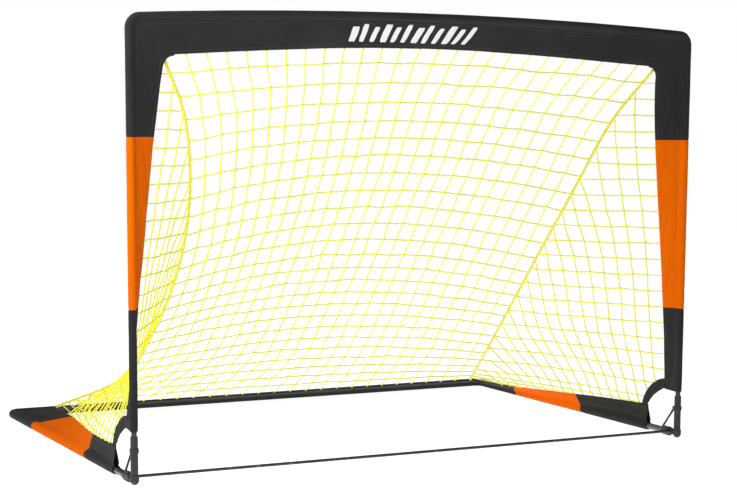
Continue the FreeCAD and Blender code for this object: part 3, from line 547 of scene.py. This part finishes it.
def base_rear_stations(side, low):
    pairs = base_stations(side, low, DEPTH - REAR_BEND)
    v0, v1 = base_edge_share(DEPTH - REAR_BEND), 0.9985
    centre = Vector((side * (HALF_WIDTH - REAR_BEND), REAR - REAR_BEND, BASE_Z))
    for k in range(1, CORNER_STEPS + 1):
        t = k / CORNER_STEPS
        a = math.radians((45 + REAR_LAP) * t)
        spoke = Vector((side * math.cos(a), math.sin(a), 0)) * REAR_BEND
        pairs.append((centre + spoke, base_edge(side, mix(v0, v1, t))))
    return pairs


def rear_stations():
    inner = HALF_WIDTH - EDGE_INSET
    edge_y = FRONT + EDGE_REAR
    corner_start, corner_end = 0.001, 0.012
    centre = Vector((HALF_WIDTH - REAR_BEND, REAR - REAR_BEND, BASE_Z))
    half = []
    for k in range(CORNER_STEPS + 1):
        t = k / CORNER_STEPS
        a = math.radians(mix(45 - REAR_LAP, 90, t))
        rod = centre + Vector((math.cos(a), math.sin(a), 0)) * REAR_BEND
        half.append((rod, Vector((inner - mix(corner_start, corner_end, t), edge_y, EDGE_LOW))))
    middle = []
    run = HALF_WIDTH - REAR_BEND
    for x in spread(-run, run, STEP)[1:-1]:
        edge = Vector((x * (inner - corner_end) / run, edge_y, EDGE_LOW))
        middle.append((Vector((x, REAR, BASE_Z)), edge))
    return both_corners(half, middle)


def band_stations(pairs):
    """Adds to each pair the square-on direction, the normals and the distance along the rod."""
    stations, far = [], 0.0
    last = len(pairs) - 1
    for i, (rod, edge) in enumerate(pairs):
        along = (pairs[min(i + 1, last)][0] - pairs[max(i - 1, 0)][0]).normalized()
        run = pairs[min(i + 1, last)][1] - pairs[max(i - 1, 0)][1]
        across = (edge - rod).normalized()
        square = (across - along * across.dot(along)).normalized()
        normal = along.cross(square).normalized()
        edge_normal = (run if run.length > 1e-6 else along).cross(across)
        if edge_normal.dot(normal) < 0:
            edge_normal = -edge_normal
        edge_normal = (edge_normal.normalized() + normal * 0.3).normalized()
        if i:
            far += (rod - pairs[i - 1][0]).length
        stations.append(Station(rod, square, normal, edge, far, edge_normal))
    return stations


def band_half(share, width):
    """Half thickness of the sewn double band at a share of its width."""
    a = share * width
    puff = CLOTH + 0.0004 * math.sin(math.pi * clamp(share))
    root = mix(0.0006, puff, smooth(a / 0.010))
    from_hem = abs(a - (width - HEM_STITCH))
    pinch = 1 - 0.45 * math.exp(-((from_hem / 0.0016) ** 2))
    rim = 1 - clamp((a - (width - CLOTH)) / CLOTH) ** 2
    return root * pinch * math.sqrt(max(rim, 0.02))


def tunnel_line(station, radius, tuck, opened, seed):
    """The tunnel's outline at one station, from one face of the band round to the other."""
    line = []
    for k in range(TUNNEL_STEPS + 1):
        a = math.radians(mix(TUNNEL_MOUTH, 360 - TUNNEL_MOUTH, k / TUNNEL_STEPS))
        puff = 0.035 * wave(station.far * 2.2 + math.cos(a), seed) * math.sin(a / 2) ** 2
        r = radius * tuck * (1 + puff * 0.6)
        line.append(station.rod + station.square * (math.cos(a) * r)
                    + station.normal * (math.sin(a) * r))
    gap = mix(0.0006, radius * 0.62, opened)
    root = station.rod + station.square * (radius + ROOT_STITCH)
    return [root + station.normal * gap] + line + [root - station.normal * gap]


def band_line(station, radius, tuck, opened, seed, near_end):
    """The flat band's outline at one station, and its middle, normal and half thickness."""
    root = station.rod + station.square * (radius + ROOT_STITCH)
    run = station.edge - root
    width = run.length
    front, back, tops = [], [], []
    for k in range(BAND_COLUMNS + 1):
        share = k / BAND_COLUMNS
        lean = (station.normal * (1 - share) + station.edge_normal * share).normalized()
        half = band_half(share, width) * tuck
        half = max(half, radius * 0.62 * opened * (1 - share) ** 1.1)
        sway = 0.0016 * wave(station.far + 0.25 * share, seed) * math.sin(math.pi * share * 0.85)
        pucker = 0.00022 * math.sin(station.far * 2 * math.pi / 0.0105 + seed)
        at_root = math.exp(-(((share * width - 0.004) / 0.006) ** 2))
        at_hem = math.exp(-(((share * width - (width - HEM_STITCH)) / 0.006) ** 2))
        pucker *= at_root + 0.8 * at_hem
        point = root + run * share + lean * (sway * smooth(near_end / 0.02))
        front.append(point + lean * (half + pucker))
        back.append(point - lean * (half - pucker))
        tops.append((point, lean, half))
    return front + list(reversed(back)), tops


def running_lengths(line):
    lengths = [0.0]
    for a, b in zip(line, line[1:]):
        lengths.append(lengths[-1] + (b - a).length)
    return lengths


def add_lip(skin, outer, station, step_in):
    """An open end is turned in: a lip gives the cloth its thickness."""
    inner = []
    for p in outer:
        along = clamp((p - station.rod).dot(station.square), 0.0, 1.0)
        inward = station.rod + station.square * along - p
        shift = min(CLOTH, inward.length * 0.6)
        inner.append(p + inward.normalized() * shift if inward.length > 1e-6 else p)
    deep = [p + step_in * 0.02 for p in inner]
    bead = [a.lerp(b, 0.5) - step_in * 0.0006 for a, b in zip(outer, inner)]
    skin.grid([outer, bead, inner, deep], lambda i, j: (j * 0.002, i * 0.001))


def top_at(tops, column):
    """The band's middle, normal and half thickness at one station, between two columns."""
    c = min(int(column), BAND_COLUMNS - 1)
    (p0, n0, h0), (p1, n1, h1) = tops[c], tops[c + 1]
    s = column - c
    return p0.lerp(p1, s), n0.lerp(n1, s), mix(h0, h1, s)


def sew_rows(stations, tops, radius):
    """Two rows of stitches, on both faces of the band."""
    sewing = Skin()
    total = stations[-1].far
    for offset, phase in STITCH_ROWS:
        distance = 0.003 + phase
        index = 0
        while distance < total - 0.003:
            ends = []
            for d in (distance + step for step in STITCH_POINTS):
                while index < len(stations) - 2 and stations[index + 1].far < d:
                    index += 1
                here, after = stations[index], stations[index + 1]
                t = clamp((d - here.far) / max(after.far - here.far, 1e-6))
                width = (here.edge - here.rod - here.square * (radius + ROOT_STITCH)).length
                share = offset / width if offset > 0 else 1 + offset / width
                column = clamp(share) * BAND_COLUMNS
                pa, na, ha = top_at(tops[index], column)
                pb, nb, hb = top_at(tops[index + 1], column)
                ends.append((pa.lerp(pb, t), na.lerp(nb, t).normalized(), mix(ha, hb, t)))
            for face in (1, -1):
                line = []
                for j, (p, n, h) in enumerate(ends):
                    crown = 0.00035 if j == 1 else 0.0
                    line.append(p + n * (face * (h * 0.86 + crown)))
                sewing.tube(line, THREAD_RADIUS, 4)
            distance += STITCH_PITCH
    return sewing


def sew_band(label, pairs, material, body, seed, open_end=False):
    """One sleeve panel: a tunnel round the rod and a flat double band with two stitch rows.

    open_end says that the panel's first end hangs open.
    """
    radius = ARCH_TUNNEL if body == "front_arch" else BASE_TUNNEL
    stations = band_stations(pairs)
    total = stations[-1].far
    tunnel, band = Skin(), Skin()
    arcs, sheets, tops = [], [], []
    for station in stations:
        near_end = min(station.far, total - station.far)
        tuck = 1 - 0.07 * math.exp(-((near_end / 0.002) ** 2))
        opened = 1 - smooth(station.far / 0.075) if open_end else 0.0
        arcs.append(tunnel_line(station, radius, tuck, opened, seed))
        sheet, top = band_line(station, radius, tuck, opened, seed, near_end)
        sheets.append(sheet)
        tops.append(top)

    turns, spans = running_lengths(arcs[0]), running_lengths(sheets[0])
    tunnel.grid(arcs, lambda i, j: (turns[j], stations[i].far))
    band.grid(sheets, lambda i, j: (spans[j] + 0.1, stations[i].far))
    if open_end:
        step_in = (stations[1].rod - stations[0].rod).normalized()
        add_lip(tunnel, arcs[0], stations[0], step_in)
        add_lip(band, sheets[0], stations[0], step_in)

    made = band.build(f"{label}_band", material)
    round_rod = tunnel.build(f"{label}_tunnel", material)
    thread_material = ORANGE_THREAD if material is ORANGE else BLACK_THREAD
    stitches = sew_rows(stations, tops, radius).build(f"{label}_stitches", thread_material)
    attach(round_rod, body)
    for obj in (made, stitches):
        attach(obj, body)
        if body == "front_arch":
            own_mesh(obj)
        else:
            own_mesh(obj)
    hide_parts(label)
    cut_width = sum(p.area for p in made.data.polygons) / total
    return stations, tops


for name, side in SIDES.items():
    low, high = SEAMS[name]["post"]
    near, far = SEAMS[name]["base"]
    panels = (
        ("post_sleeve_lower", post_stations(side, SLEEVE_BOTTOM, low)),
        ("post_sleeve_middle", post_stations(side, low, high)),
        ("post_sleeve_upper", upper_post_stations(side, high)),
        ("base_sleeve_front", base_stations(side, BASE_START, near)),
        ("base_sleeve_middle", base_stations(side, near, far)),
        ("base_sleeve_rear", base_rear_stations(side, far)),
    )
    for k, (part, pairs) in enumerate(panels):
        material = ORANGE if part.endswith("middle") else BLACK
        body = "front_arch" if part.startswith("post") else "base_loop"
        open_end = part in ("post_sleeve_lower", "base_sleeve_front")
        sew_band(f"{name}_{part}", pairs, material, body, 3.1 * side + 5 + k, open_end)
sew_band("rear_base_sleeve", rear_stations(), BLACK, "base_loop", 9.0)
BAR_STATIONS, BAR_TOPS = sew_band(
    "crossbar_sleeve", crossbar_stations(), BLACK, "front_arch", 12.0)

# ---- corner gussets


def corner_gusset(name, side):
    """A small curved gusset that rounds the mouth's inner corner behind the two bands."""
    reach, tuck_in = 0.020, 0.012
    corner = bar_edge(side * CORNER_X) + Vector((0, 0.0008, 0))
    low = post_edge(side, CORNER_Z - 0.05)
    down = (low - post_edge(side, CORNER_Z - CORNER_TURN)).normalized()
    along = Vector((-side, 0, 0))
    half = Vector((0, 0.0012, 0))
    root = corner - (along + down) * tuck_in
    rows, steps, columns = [], 18, 6
    for i in range(steps + 1):
        a = i / steps * math.pi / 2
        rim = corner + along * reach * (1 - math.sin(a)) + down * reach * (1 - math.cos(a))
        rows.append([root.lerp(rim, k / columns) for k in range(columns + 1)])
    skin = Skin()
    for face in ([[p - half for p in row] for row in rows],
                 [[p + half for p in row] for row in reversed(rows)]):
        skin.grid(face, lambda i, j: (j * 0.003, i * 0.002))
    skin.tube([row[-1] for row in rows], 0.0013, 8, capped=True)
    patch = skin.build(f"{name}_corner_gusset", BLACK)
    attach(patch, "front_arch")
    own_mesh(patch)


for name, side in SIDES.items():
    corner_gusset(name, side)

# ---- printed marks
# Plain slanted bars in white ink on the crossbar's front face.


def bar_face(x, down):
    """A point just proud of the crossbar band's front face, down metres from its stitching."""
    rods = [station.rod.x for station in BAR_STATIONS]
    i = max(k for k in range(len(rods) - 1) if rods[k] <= x)
    t = (x - rods[i]) / (rods[i + 1] - rods[i])
    found = []
    for station, tops in zip(BAR_STATIONS[i:i + 2], BAR_TOPS[i:i + 2]):
        root = station.rod + station.square * (ARCH_TUNNEL + ROOT_STITCH)
        width = (station.edge - root).length
        found.append(top_at(tops, clamp(down / width) * BAND_COLUMNS))
    (pa, na, ha), (pb, nb, hb) = found
    normal = na.lerp(nb, t).normalized()
    if normal.y > 0:
        normal = -normal
    return pa.lerp(pb, t) + normal * (mix(ha, hb, t) + PRINT_PROUD)


PRINT_LEFT, PRINT_RIGHT = -0.185, 0.133
PRINT_TOP, PRINT_LOW = 0.006, 0.048
PRINT_PITCH, PRINT_SLANT = 0.0255, 0.012
PRINT_PROUD = 0.00045
PRINT_ROWS, PRINT_COLUMNS = 8, 4


def printed_bar(index):
    """Rows of points on one slanted bar; widths and tops differ a little from bar to bar."""
    left = PRINT_LEFT + index * PRINT_PITCH
    thick = 0.0125 if index % 3 else 0.0165
    top = PRINT_TOP + (0.0 if index % 2 else 0.006)
    rows = []
    for i in range(PRINT_ROWS + 1):
        s = i / PRINT_ROWS
        pull = 0.0016 * (abs(2 * s - 1)) ** 6
        start = left + (1 - s) * PRINT_SLANT + pull
        across = [start + (thick - 2 * pull) * j / PRINT_COLUMNS
                  for j in range(PRINT_COLUMNS + 1)]
        rows.append([bar_face(x, mix(top, PRINT_LOW, s)) for x in across])
    return rows


marks = Skin()
for index in range(int((PRINT_RIGHT - PRINT_LEFT) / PRINT_PITCH)):
    marks.grid(printed_bar(index), lambda i, j: (j * 0.003, i * 0.005))
printed = marks.build("crossbar_printed_bars", WHITE_PRINT)
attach(printed, "front_arch")
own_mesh(printed)

# ---- net

# Each corner tie's outer and inner edge, as (back, height), and the height where the
# side net's rows change from the post band to the tie.
TIE_OUTER = [(0.046, 0.1275), (0.100, 0.105), (0.1345, 0.0585)]
TIE_INNER = [(0.046, 0.1055), (0.086, 0.085), (0.1125, 0.0585)]
TIE_TURN = 0.124
TIE_SEWN = HALF_WIDTH - 0.0025  # where the net is sewn to the tie's outer edge
STRAND = 0.0015
JITTER = 0.0009
ROW_PITCH = 0.0355
SIDE_ROWS = 21
LOW_ROWS = (0.0585, 0.0480, 0.0400)
ROOF_COLUMNS = 26
ROOF_ROWS = (
    0, 0.050, 0.117, 0.175, 0.223, 0.265, 0.306, 0.350, 0.393, 0.435, 0.477, 0.517, 0.554,
    0.587, 0.619, 0.651, 0.682, 0.714, 0.746, 0.779, 0.812, 0.848, 0.887, 0.928, 0.967, 1,
)


def arc(points, t):
    """A quadratic curve through three (back, height) points."""
    s = 1 - t
    return tuple(s * s * a + 2 * s * t * (2 * b - (a + c) / 2) + t * t * c
                 for a, b, c in zip(*points))


def bisect(test):
    """The share from 0 to 1 where a test that holds at 0 first fails."""
    low, high = 0.0, 1.0
    for _ in range(20):
        middle = (low + high) / 2
        low, high = (middle, high) if test(middle) else (low, middle)
    return low


def side_front(side, z):
    """Where a level row of the side net is sewn in: post band, or corner tie low down."""
    if z > TIE_TURN:
        seam = post_edge(side, z).lerp(post_point(side, z), 0.05)
        return seam + Vector((0, 0.0012, 0))
    back, _ = arc(TIE_OUTER, bisect(lambda t: arc(TIE_OUTER, t)[1] > z))
    return Vector((side * TIE_SEWN, FRONT + back - 0.002, z))


def side_line(side, z):
    """Where a row would start if the post band's edge ran straight down to the base."""
    start = side_front(side, max(z, TIE_TURN + 0.0001))
    start.z = z
    return start


def side_cord(side, z):
    """The edge cord at height z."""
    return cord_point(side, bisect(lambda share: cord_point(side, share).z > z))


def side_point(side, z, along):
    """The side net at height z, along metres back from the line of the post band's edge."""
    front, cord = side_line(side, z), side_cord(side, z)
    k = clamp(along / max((cord - front).length, 1e-6))
    low = clamp((0.75 - z) / 0.6)
    bow = 0.006 * 4 * k * (1 - k) * low
    point = front.lerp(cord, k) + Vector((-side * bow, 0, -0.004 * k * (1 - k) * low))
    sole = base_edge(side, clamp(base_edge_place(point.y - FRONT)))
    pull = clamp((0.24 - z) / 0.185) ** 1.6 * (1 - k**4)
    point.x = mix(point.x, sole.x - side * 0.001, pull)
    return point


def column_pitch(z):
    """Distance between a side net's verticals, which open out towards the top."""
    return 0.034 + 0.011 * smooth((z - 0.35) / 0.35)


def back_surface(share, k):
    """The roof and back net: share runs down the cords, k from the left cord to the right."""
    cord = cord_point(1, share)
    x = k * (cord.x - 0.0005)
    head = cord_point(1, 0)
    top = bar_edge(clamp(x, -CORNER_X, CORNER_X)) + Vector((0, 0.0016, -0.0008))
    lift = Vector((0, top.y - head.y, top.z - head.z)) * (1 - share) ** 3
    foot = Vector((0, FRONT + 0.786 - cord_point(1, 1).y, 0)) * share**8
    bulge = Vector((0, 0.72, 0.69)) * (0.070 * 4 * share * (1 - share) * (1 - k * k))
    return Vector((x, cord.y, cord.z)) + lift + foot + bulge


def jittered(place, size):
    """Moves a knot a little, so that no two meshes are quite the same."""
    return place + Vector([random.gauss(0, 1) for _ in range(3)]) * size


def knotted(points, runs, knots, extra, name):
    """Builds one net: strands between knots, with a little slack in each, and extra strands."""
    skin = Skin()
    for a, b in runs:
        p, q = points[a], points[b]
        sag = Vector((0, 0, -1)) * (p - q).length * 0.012
        middle = p.lerp(q, 0.5) + sag
        quarters = [p.lerp(middle, 0.5) + sag * 0.2, middle.lerp(q, 0.5) + sag * 0.2]
        skin.tube([p, quarters[0], middle, quarters[1], q], STRAND, 6)
    for line in extra:
        skin.tube(line, STRAND, 6)
    for key, (along, across) in knots.items():
        skin.knot(points[key], STRAND * 1.75, along, across)
    return skin.build(name, NET)


def back_net():
    """The roof and back net, tied to the crossbar band, the edge cords and the rear band."""
    columns, rows = ROOF_COLUMNS, len(ROOF_ROWS) - 1
    points, runs, knots, extra = {}, [], {}, []
    for i in range(rows + 1):
        for j in range(columns + 1):
            inside = 0 < i < rows and 0 < j < columns
            place = back_surface(ROOF_ROWS[i], 2 * j / columns - 1)
            points[(i, j)] = jittered(place, JITTER if inside else 0.0002)
    for i in range(rows + 1):
        for j in range(columns + 1):
            if j < columns and 0 < i < rows:
                runs.append(((i, j), (i, j + 1)))
            if i < rows and 0 < j < columns:
                runs.append(((i, j), (i + 1, j)))
            if 0 < i < rows:
                a = points[(i, min(j + 1, columns))] - points[(i, max(j - 1, 0))]
                b = points[(i + 1, j)] - points[(i - 1, j)]
                knots[(i, j)] = (a, b)
    for j in range(1, columns):
        p = points[(0, j)]
        hem = bar_edge(p.x) + Vector((0, 0.0002, 0.0028))
        extra.append([p, p.lerp(hem, 0.5) + Vector((0, 0.0012, 0)), hem])
        p = points[(rows, j)]
        hem = Vector((p.x, FRONT + 0.801, 0.0318))
        extra.append([p, Vector((p.x, FRONT + EDGE_REAR, 0.0330)), hem])
    return knotted(points, runs, knots, extra, "back_net_mesh")


def side_net(name, side):
    """A side net of level rows, sewn to the post band, the corner tie and the base band."""
    heights = [CORNER_Z - ROW_PITCH * (i + 1) for i in range(SIDE_ROWS)]
    points, runs, knots, extra = {}, [], {}, []
    spans, hems = [], []  # each row's first and last knot, and the ends on the base band
    for i, z in enumerate(heights):
        start = side_line(side, z)
        reach = (side_cord(side, z) - start).length
        last = int(reach / column_pitch(z) - 0.2)
        sewn = (side_front(side, z) - start).length
        first = 1 + int((sewn + 0.006) / column_pitch(z)) if z < TIE_TURN else 1
        spans.append((first, last))
        for j in range(first, last + 1):
            points[(i, j)] = jittered(side_point(side, z, j * column_pitch(z)), JITTER)
        points[(i, first - 1)] = side_front(side, z)
        points[(i, "cord")] = side_cord(side, z)
    for i, (first, last) in enumerate(spans):
        for j in range(first - 1, last):
            runs.append(((i, j), (i, j + 1)))
        runs.append(((i, last), (i, "cord")))
        for j in range(first, last + 1):
            p = points[(i, j)]
            ahead = points[(i, "cord")] if j == last else points[(i, j + 1)]
            knots[(i, j)] = (ahead - points[(i, j - 1)], Vector((0, 0, -1)))
            if i + 1 < SIDE_ROWS and j < spans[i + 1][0]:
                # this vertical is sewn to the corner tie
                t = bisect(lambda t: FRONT + arc(TIE_OUTER, t)[0] < p.y)
                back, height = arc(TIE_OUTER, t)
                hem = Vector((side * TIE_SEWN, FRONT + back, height - 0.002))
                extra.append([p, p.lerp(hem, 0.5), hem])
            elif i + 1 < SIDE_ROWS:
                runs.append(((i, j), (i + 1, j)))
            else:
                # the last row's verticals are sewn to the base band
                v = clamp(base_edge_place(p.y - FRONT))
                hem = base_edge(side, v) + Vector((side * 0.002, 0, -0.001))
                hems.append((p, hem))
                extra.append([p, p.lerp(hem, 0.5) + Vector((-side * 0.002, 0, 0)), hem])
        # verticals that start on the cord above this row
        above = spans[i - 1][1] if i else 0
        for j in range(above + 1, last + 1):
            p, z = points[(i, j)], heights[i]
            along = j * column_pitch(z)
            share = bisect(
                lambda t: (side_cord(side, z + ROW_PITCH * t)
                           - side_front(side, z + ROW_PITCH * t)).length > along)
            head = side_cord(side, z + ROW_PITCH * share)
            extra.append([head, head.lerp(p, 0.5), p])
    # low rows that start on the base band and run back to the cord's end
    for z in LOW_ROWS:
        start = base_edge(side, clamp((EDGE_HIGH - z) / (EDGE_HIGH - EDGE_LOW)))
        line = [start]
        for p, hem in hems:
            if hem.z < z - 0.0015 and hem.y > start.y:
                line.append(p.lerp(hem, (p.z - z) / (p.z - hem.z)))
        extra.append(line + [side_cord(side, z)])
    return knotted(points, runs, knots, extra, f"{name}_side_net_mesh")


CORD_RADIUS, CORD_STEPS = 0.0028, 96
WHIP_STEPS, WHIP_TURNS, WHIP_THREAD = 56, 7, 0.0007


def declare_net(obj):
    """A net is a sheet of open work whose flat area is the area of its cord; this only sums that
    area, and the sum is not used.
    """
    strand_area = sum(p.area for p in obj.data.polygons)


roof = back_net()
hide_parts("back_net")
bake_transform(roof)
declare_net(roof)

for name, side in SIDES.items():
    rope = Skin()
    line = [cord_point(side, k / CORD_STEPS) for k in range(CORD_STEPS + 1)]
    rope.tube(line, CORD_RADIUS, 12, capped=True)
    cord = rope.build(f"{name}_edge_cord_rope", EDGE)
    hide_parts(f"{name}_edge_cord")
    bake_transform(cord)

    flank = side_net(name, side)
    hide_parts(f"{name}_side_net")
    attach(flank, "base_loop")
    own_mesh(flank)
    declare_net(flank)

    # Whipping that seizes the net's edge cord into the band corners.
    seizing = Skin()
    for share0, share1 in ((0.004, 0.03), (0.972, 0.996)):
        coil = []
        for k in range(WHIP_STEPS + 1):
            t = k / WHIP_STEPS
            share = mix(share0, share1, t)
            centre = cord_point(side, share)
            ahead = (cord_point(side, share + 0.004) - centre).normalized()
            out = ahead.cross(Vector((0, 1, 0))).normalized()
            up = ahead.cross(out)
            a = t * 2 * math.pi * WHIP_TURNS
            coil.append(centre + (out * math.cos(a) + up * math.sin(a)) * CORD_RADIUS)
        seizing.tube(coil, WHIP_THREAD, 6, capped=True)
    wound = seizing.build(f"{name}_cord_whipping", NET)
    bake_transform(wound)

# ---- corner ties

TIE_WIDTH = 0.022
TIE_STEPS, TIE_COLUMNS = 26, 12
TIE_SEAM = 0.14  # each row of stitches, as a share of the width in from its edge


def tie_point(side, t, s, out=0.0):
    """A point of the tie: t runs down it, s across it, and out is away from its middle."""
    (yo, zo), (yi, zi) = arc(TIE_OUTER, t), arc(TIE_INNER, t)
    bow = 0.0008 * wave(t * 0.6 + s * 0.2, 4) + 0.0006 * math.sin(math.pi * s)
    x = side * (HALF_WIDTH - 0.001) + bow + out
    return Vector((x, FRONT + mix(yi, yo, s), mix(zi, zo, s)))


def tie_half(s):
    """Half the tie's thickness, less along both hems."""
    return band_half(1 - s if s > 0.5 else s, TIE_WIDTH) * 0.55 + 0.0003


def corner_tie(name, side):
    """A curved strip of band fabric that joins the post sleeve to the base sleeve."""
    shares = [k / TIE_COLUMNS for k in range(TIE_COLUMNS + 1)]
    rows = []
    for i in range(TIE_STEPS + 1):
        t = i / TIE_STEPS
        ring = [tie_point(side, t, s, tie_half(s)) for s in shares]
        ring += [tie_point(side, t, s, -tie_half(s)) for s in reversed(shares)]
        rows.append(ring)
    strip = Skin()
    strip.grid(rows, lambda i, j: (j * 0.002, i * 0.0045), closed=True)
    for row in (rows[0], rows[-1]):
        # the short ends are closed
        for k in range(TIE_COLUMNS):
            strip.grid([(row[k], row[k + 1]), (row[-1 - k], row[-2 - k])],
                       lambda i, j: (j * 0.002, i * 0.002))
    tie = strip.build(f"{name}_corner_tie_cloth", BLACK)
    sewing = Skin()
    half = tie_half(TIE_SEAM)
    for s in (TIE_SEAM, 1 - TIE_SEAM):
        for i in range(1, TIE_STEPS - 1):
            for face in (1, -1):
                line = [tie_point(side, (i + d) / TIE_STEPS, s, face * (half + crown))
                        for d, crown in ((0.0, 0.0), (0.35, 0.0003), (0.7, 0.0))]
                sewing.tube(line, 0.0004, 4)
    stitches = sewing.build(f"{name}_corner_tie_stitches", BLACK_THREAD)
    for obj in (tie, stitches):
        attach(obj, "base_loop")
        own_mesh(obj)
    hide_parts(f"{name}_corner_tie")


for name, side in SIDES.items():
    corner_tie(name, side)

# ---- CAD hardware finishes, by the end of each node's name

FINISHES = {
    "post_tube": DARK_STEEL, "base_tube": STEEL, "hinge_lug": STEEL, "strut_pin": STEEL,
    "top_elbow": STEEL, "rear_elbow": STEEL, "splice": STEEL, "_rod": ROD,
    "hinge_clevis": DARK_STEEL, "strut_bracket": DARK_STEEL, "_strut": STRUT_COAT,
    "post_foot": PLASTIC, "hub_collar": PLASTIC, "bar_end_caps": PLASTIC,
    "ground_bar": BAR_COAT,
}
for node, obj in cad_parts.items():
    for ending, material in FINISHES.items():
        if node.endswith(ending):
            obj.data.materials.clear()
            obj.data.materials.append(material)

# ---- floor, light, camera

floor_mesh = bpy.data.meshes.new("floor")
FLOOR_REACH = 40
corners = [(x * FLOOR_REACH, y * FLOOR_REACH, 0) for x, y in ((-1, -1), (1, -1), (1, 1), (-1, 1))]
floor_mesh.from_pydata(corners, [], [(0, 1, 2, 3)])
floor = add_object("floor", floor_mesh)
floor_mat = Nodes("pale_floor", (0.50, 0.50, 0.50), 0.9,
                  Emission_Color=(1, 1, 1, 1), Emission_Strength=0.96)
floor_mesh.materials.append(floor_mat.mat)


def lamp(name, place, aim, size, power):
    """A square area lamp that the camera doesn't see."""
    data = bpy.data.lights.new(name, "AREA")
    data.size = size
    data.energy = power
    obj = add_object(name, data)
    obj.location = place
    obj.visible_camera = False
    obj.rotation_mode = "QUATERNION"
    obj.rotation_quaternion = (Vector(aim) - Vector(place)).to_track_quat("-Z", "Y")


lamp("key", (-1.5, -1.5, 1.3), (-0.5, -0.3, 0.4), 0.8, 19)
lamp("top", (-1.25, -0.25, 1.7), (-0.6, 0.0, 0.1), 0.8, 15)
lamp("fill", (3.2, -3.4, 2.4), (0, 0, 0.4), 2.5, 4)
lamp("back", (0.3, 3.4, 3.2), (0, 0, 0.4), 2.5, 26)

# The world lights the goal softly, and is plain white behind it.
world = bpy.data.worlds.new("studio")
world.use_nodes = True
studio = world.node_tree
soft = studio.nodes["Background"]
soft.inputs["Color"].default_value = (1, 1, 1, 1)
soft.inputs["Strength"].default_value = 0.07
backdrop = studio.nodes.new("ShaderNodeBackground")
backdrop.inputs["Color"].default_value = (1, 1, 1, 1)
seen = studio.nodes.new("ShaderNodeLightPath")
either = studio.nodes.new("ShaderNodeMixShader")
studio.links.new(seen.outputs["Is Camera Ray"], either.inputs[0])
studio.links.new(soft.outputs[0], either.inputs[1])
studio.links.new(backdrop.outputs[0], either.inputs[2])
studio.links.new(either.outputs[0], studio.nodes["World Output"].inputs["Surface"])
bpy.context.scene.world = world
bpy.context.scene.view_settings.view_transform = "Standard"

# The camera, fitted to the photograph's perspective.
YAW, PITCH, ROLL = math.radians(26.593), math.radians(-3.912), math.radians(0.391)
FOCAL_PIXELS, IMAGE_WIDTH, SENSOR = 1799.9, 737, 36
CAMERA_PLACE = Vector((-1.7634, -3.2481 + FRONT, 0.6920))
ahead = Vector((math.sin(YAW) * math.cos(PITCH), math.cos(YAW) * math.cos(PITCH),
                math.sin(PITCH)))
level = Vector((math.cos(YAW), -math.sin(YAW), 0))
up = level.cross(ahead)
right = level * math.cos(ROLL) + up * math.sin(ROLL)
up = right.cross(ahead)
camera = add_object("camera", bpy.data.cameras.new("camera"))
camera.data.sensor_width = SENSOR
camera.data.lens = FOCAL_PIXELS / IMAGE_WIDTH * SENSOR
turn = Matrix((right, up, -ahead)).transposed().to_4x4()
camera.matrix_world = Matrix.Translation(CAMERA_PLACE) @ turn
bpy.context.scene.camera = camera
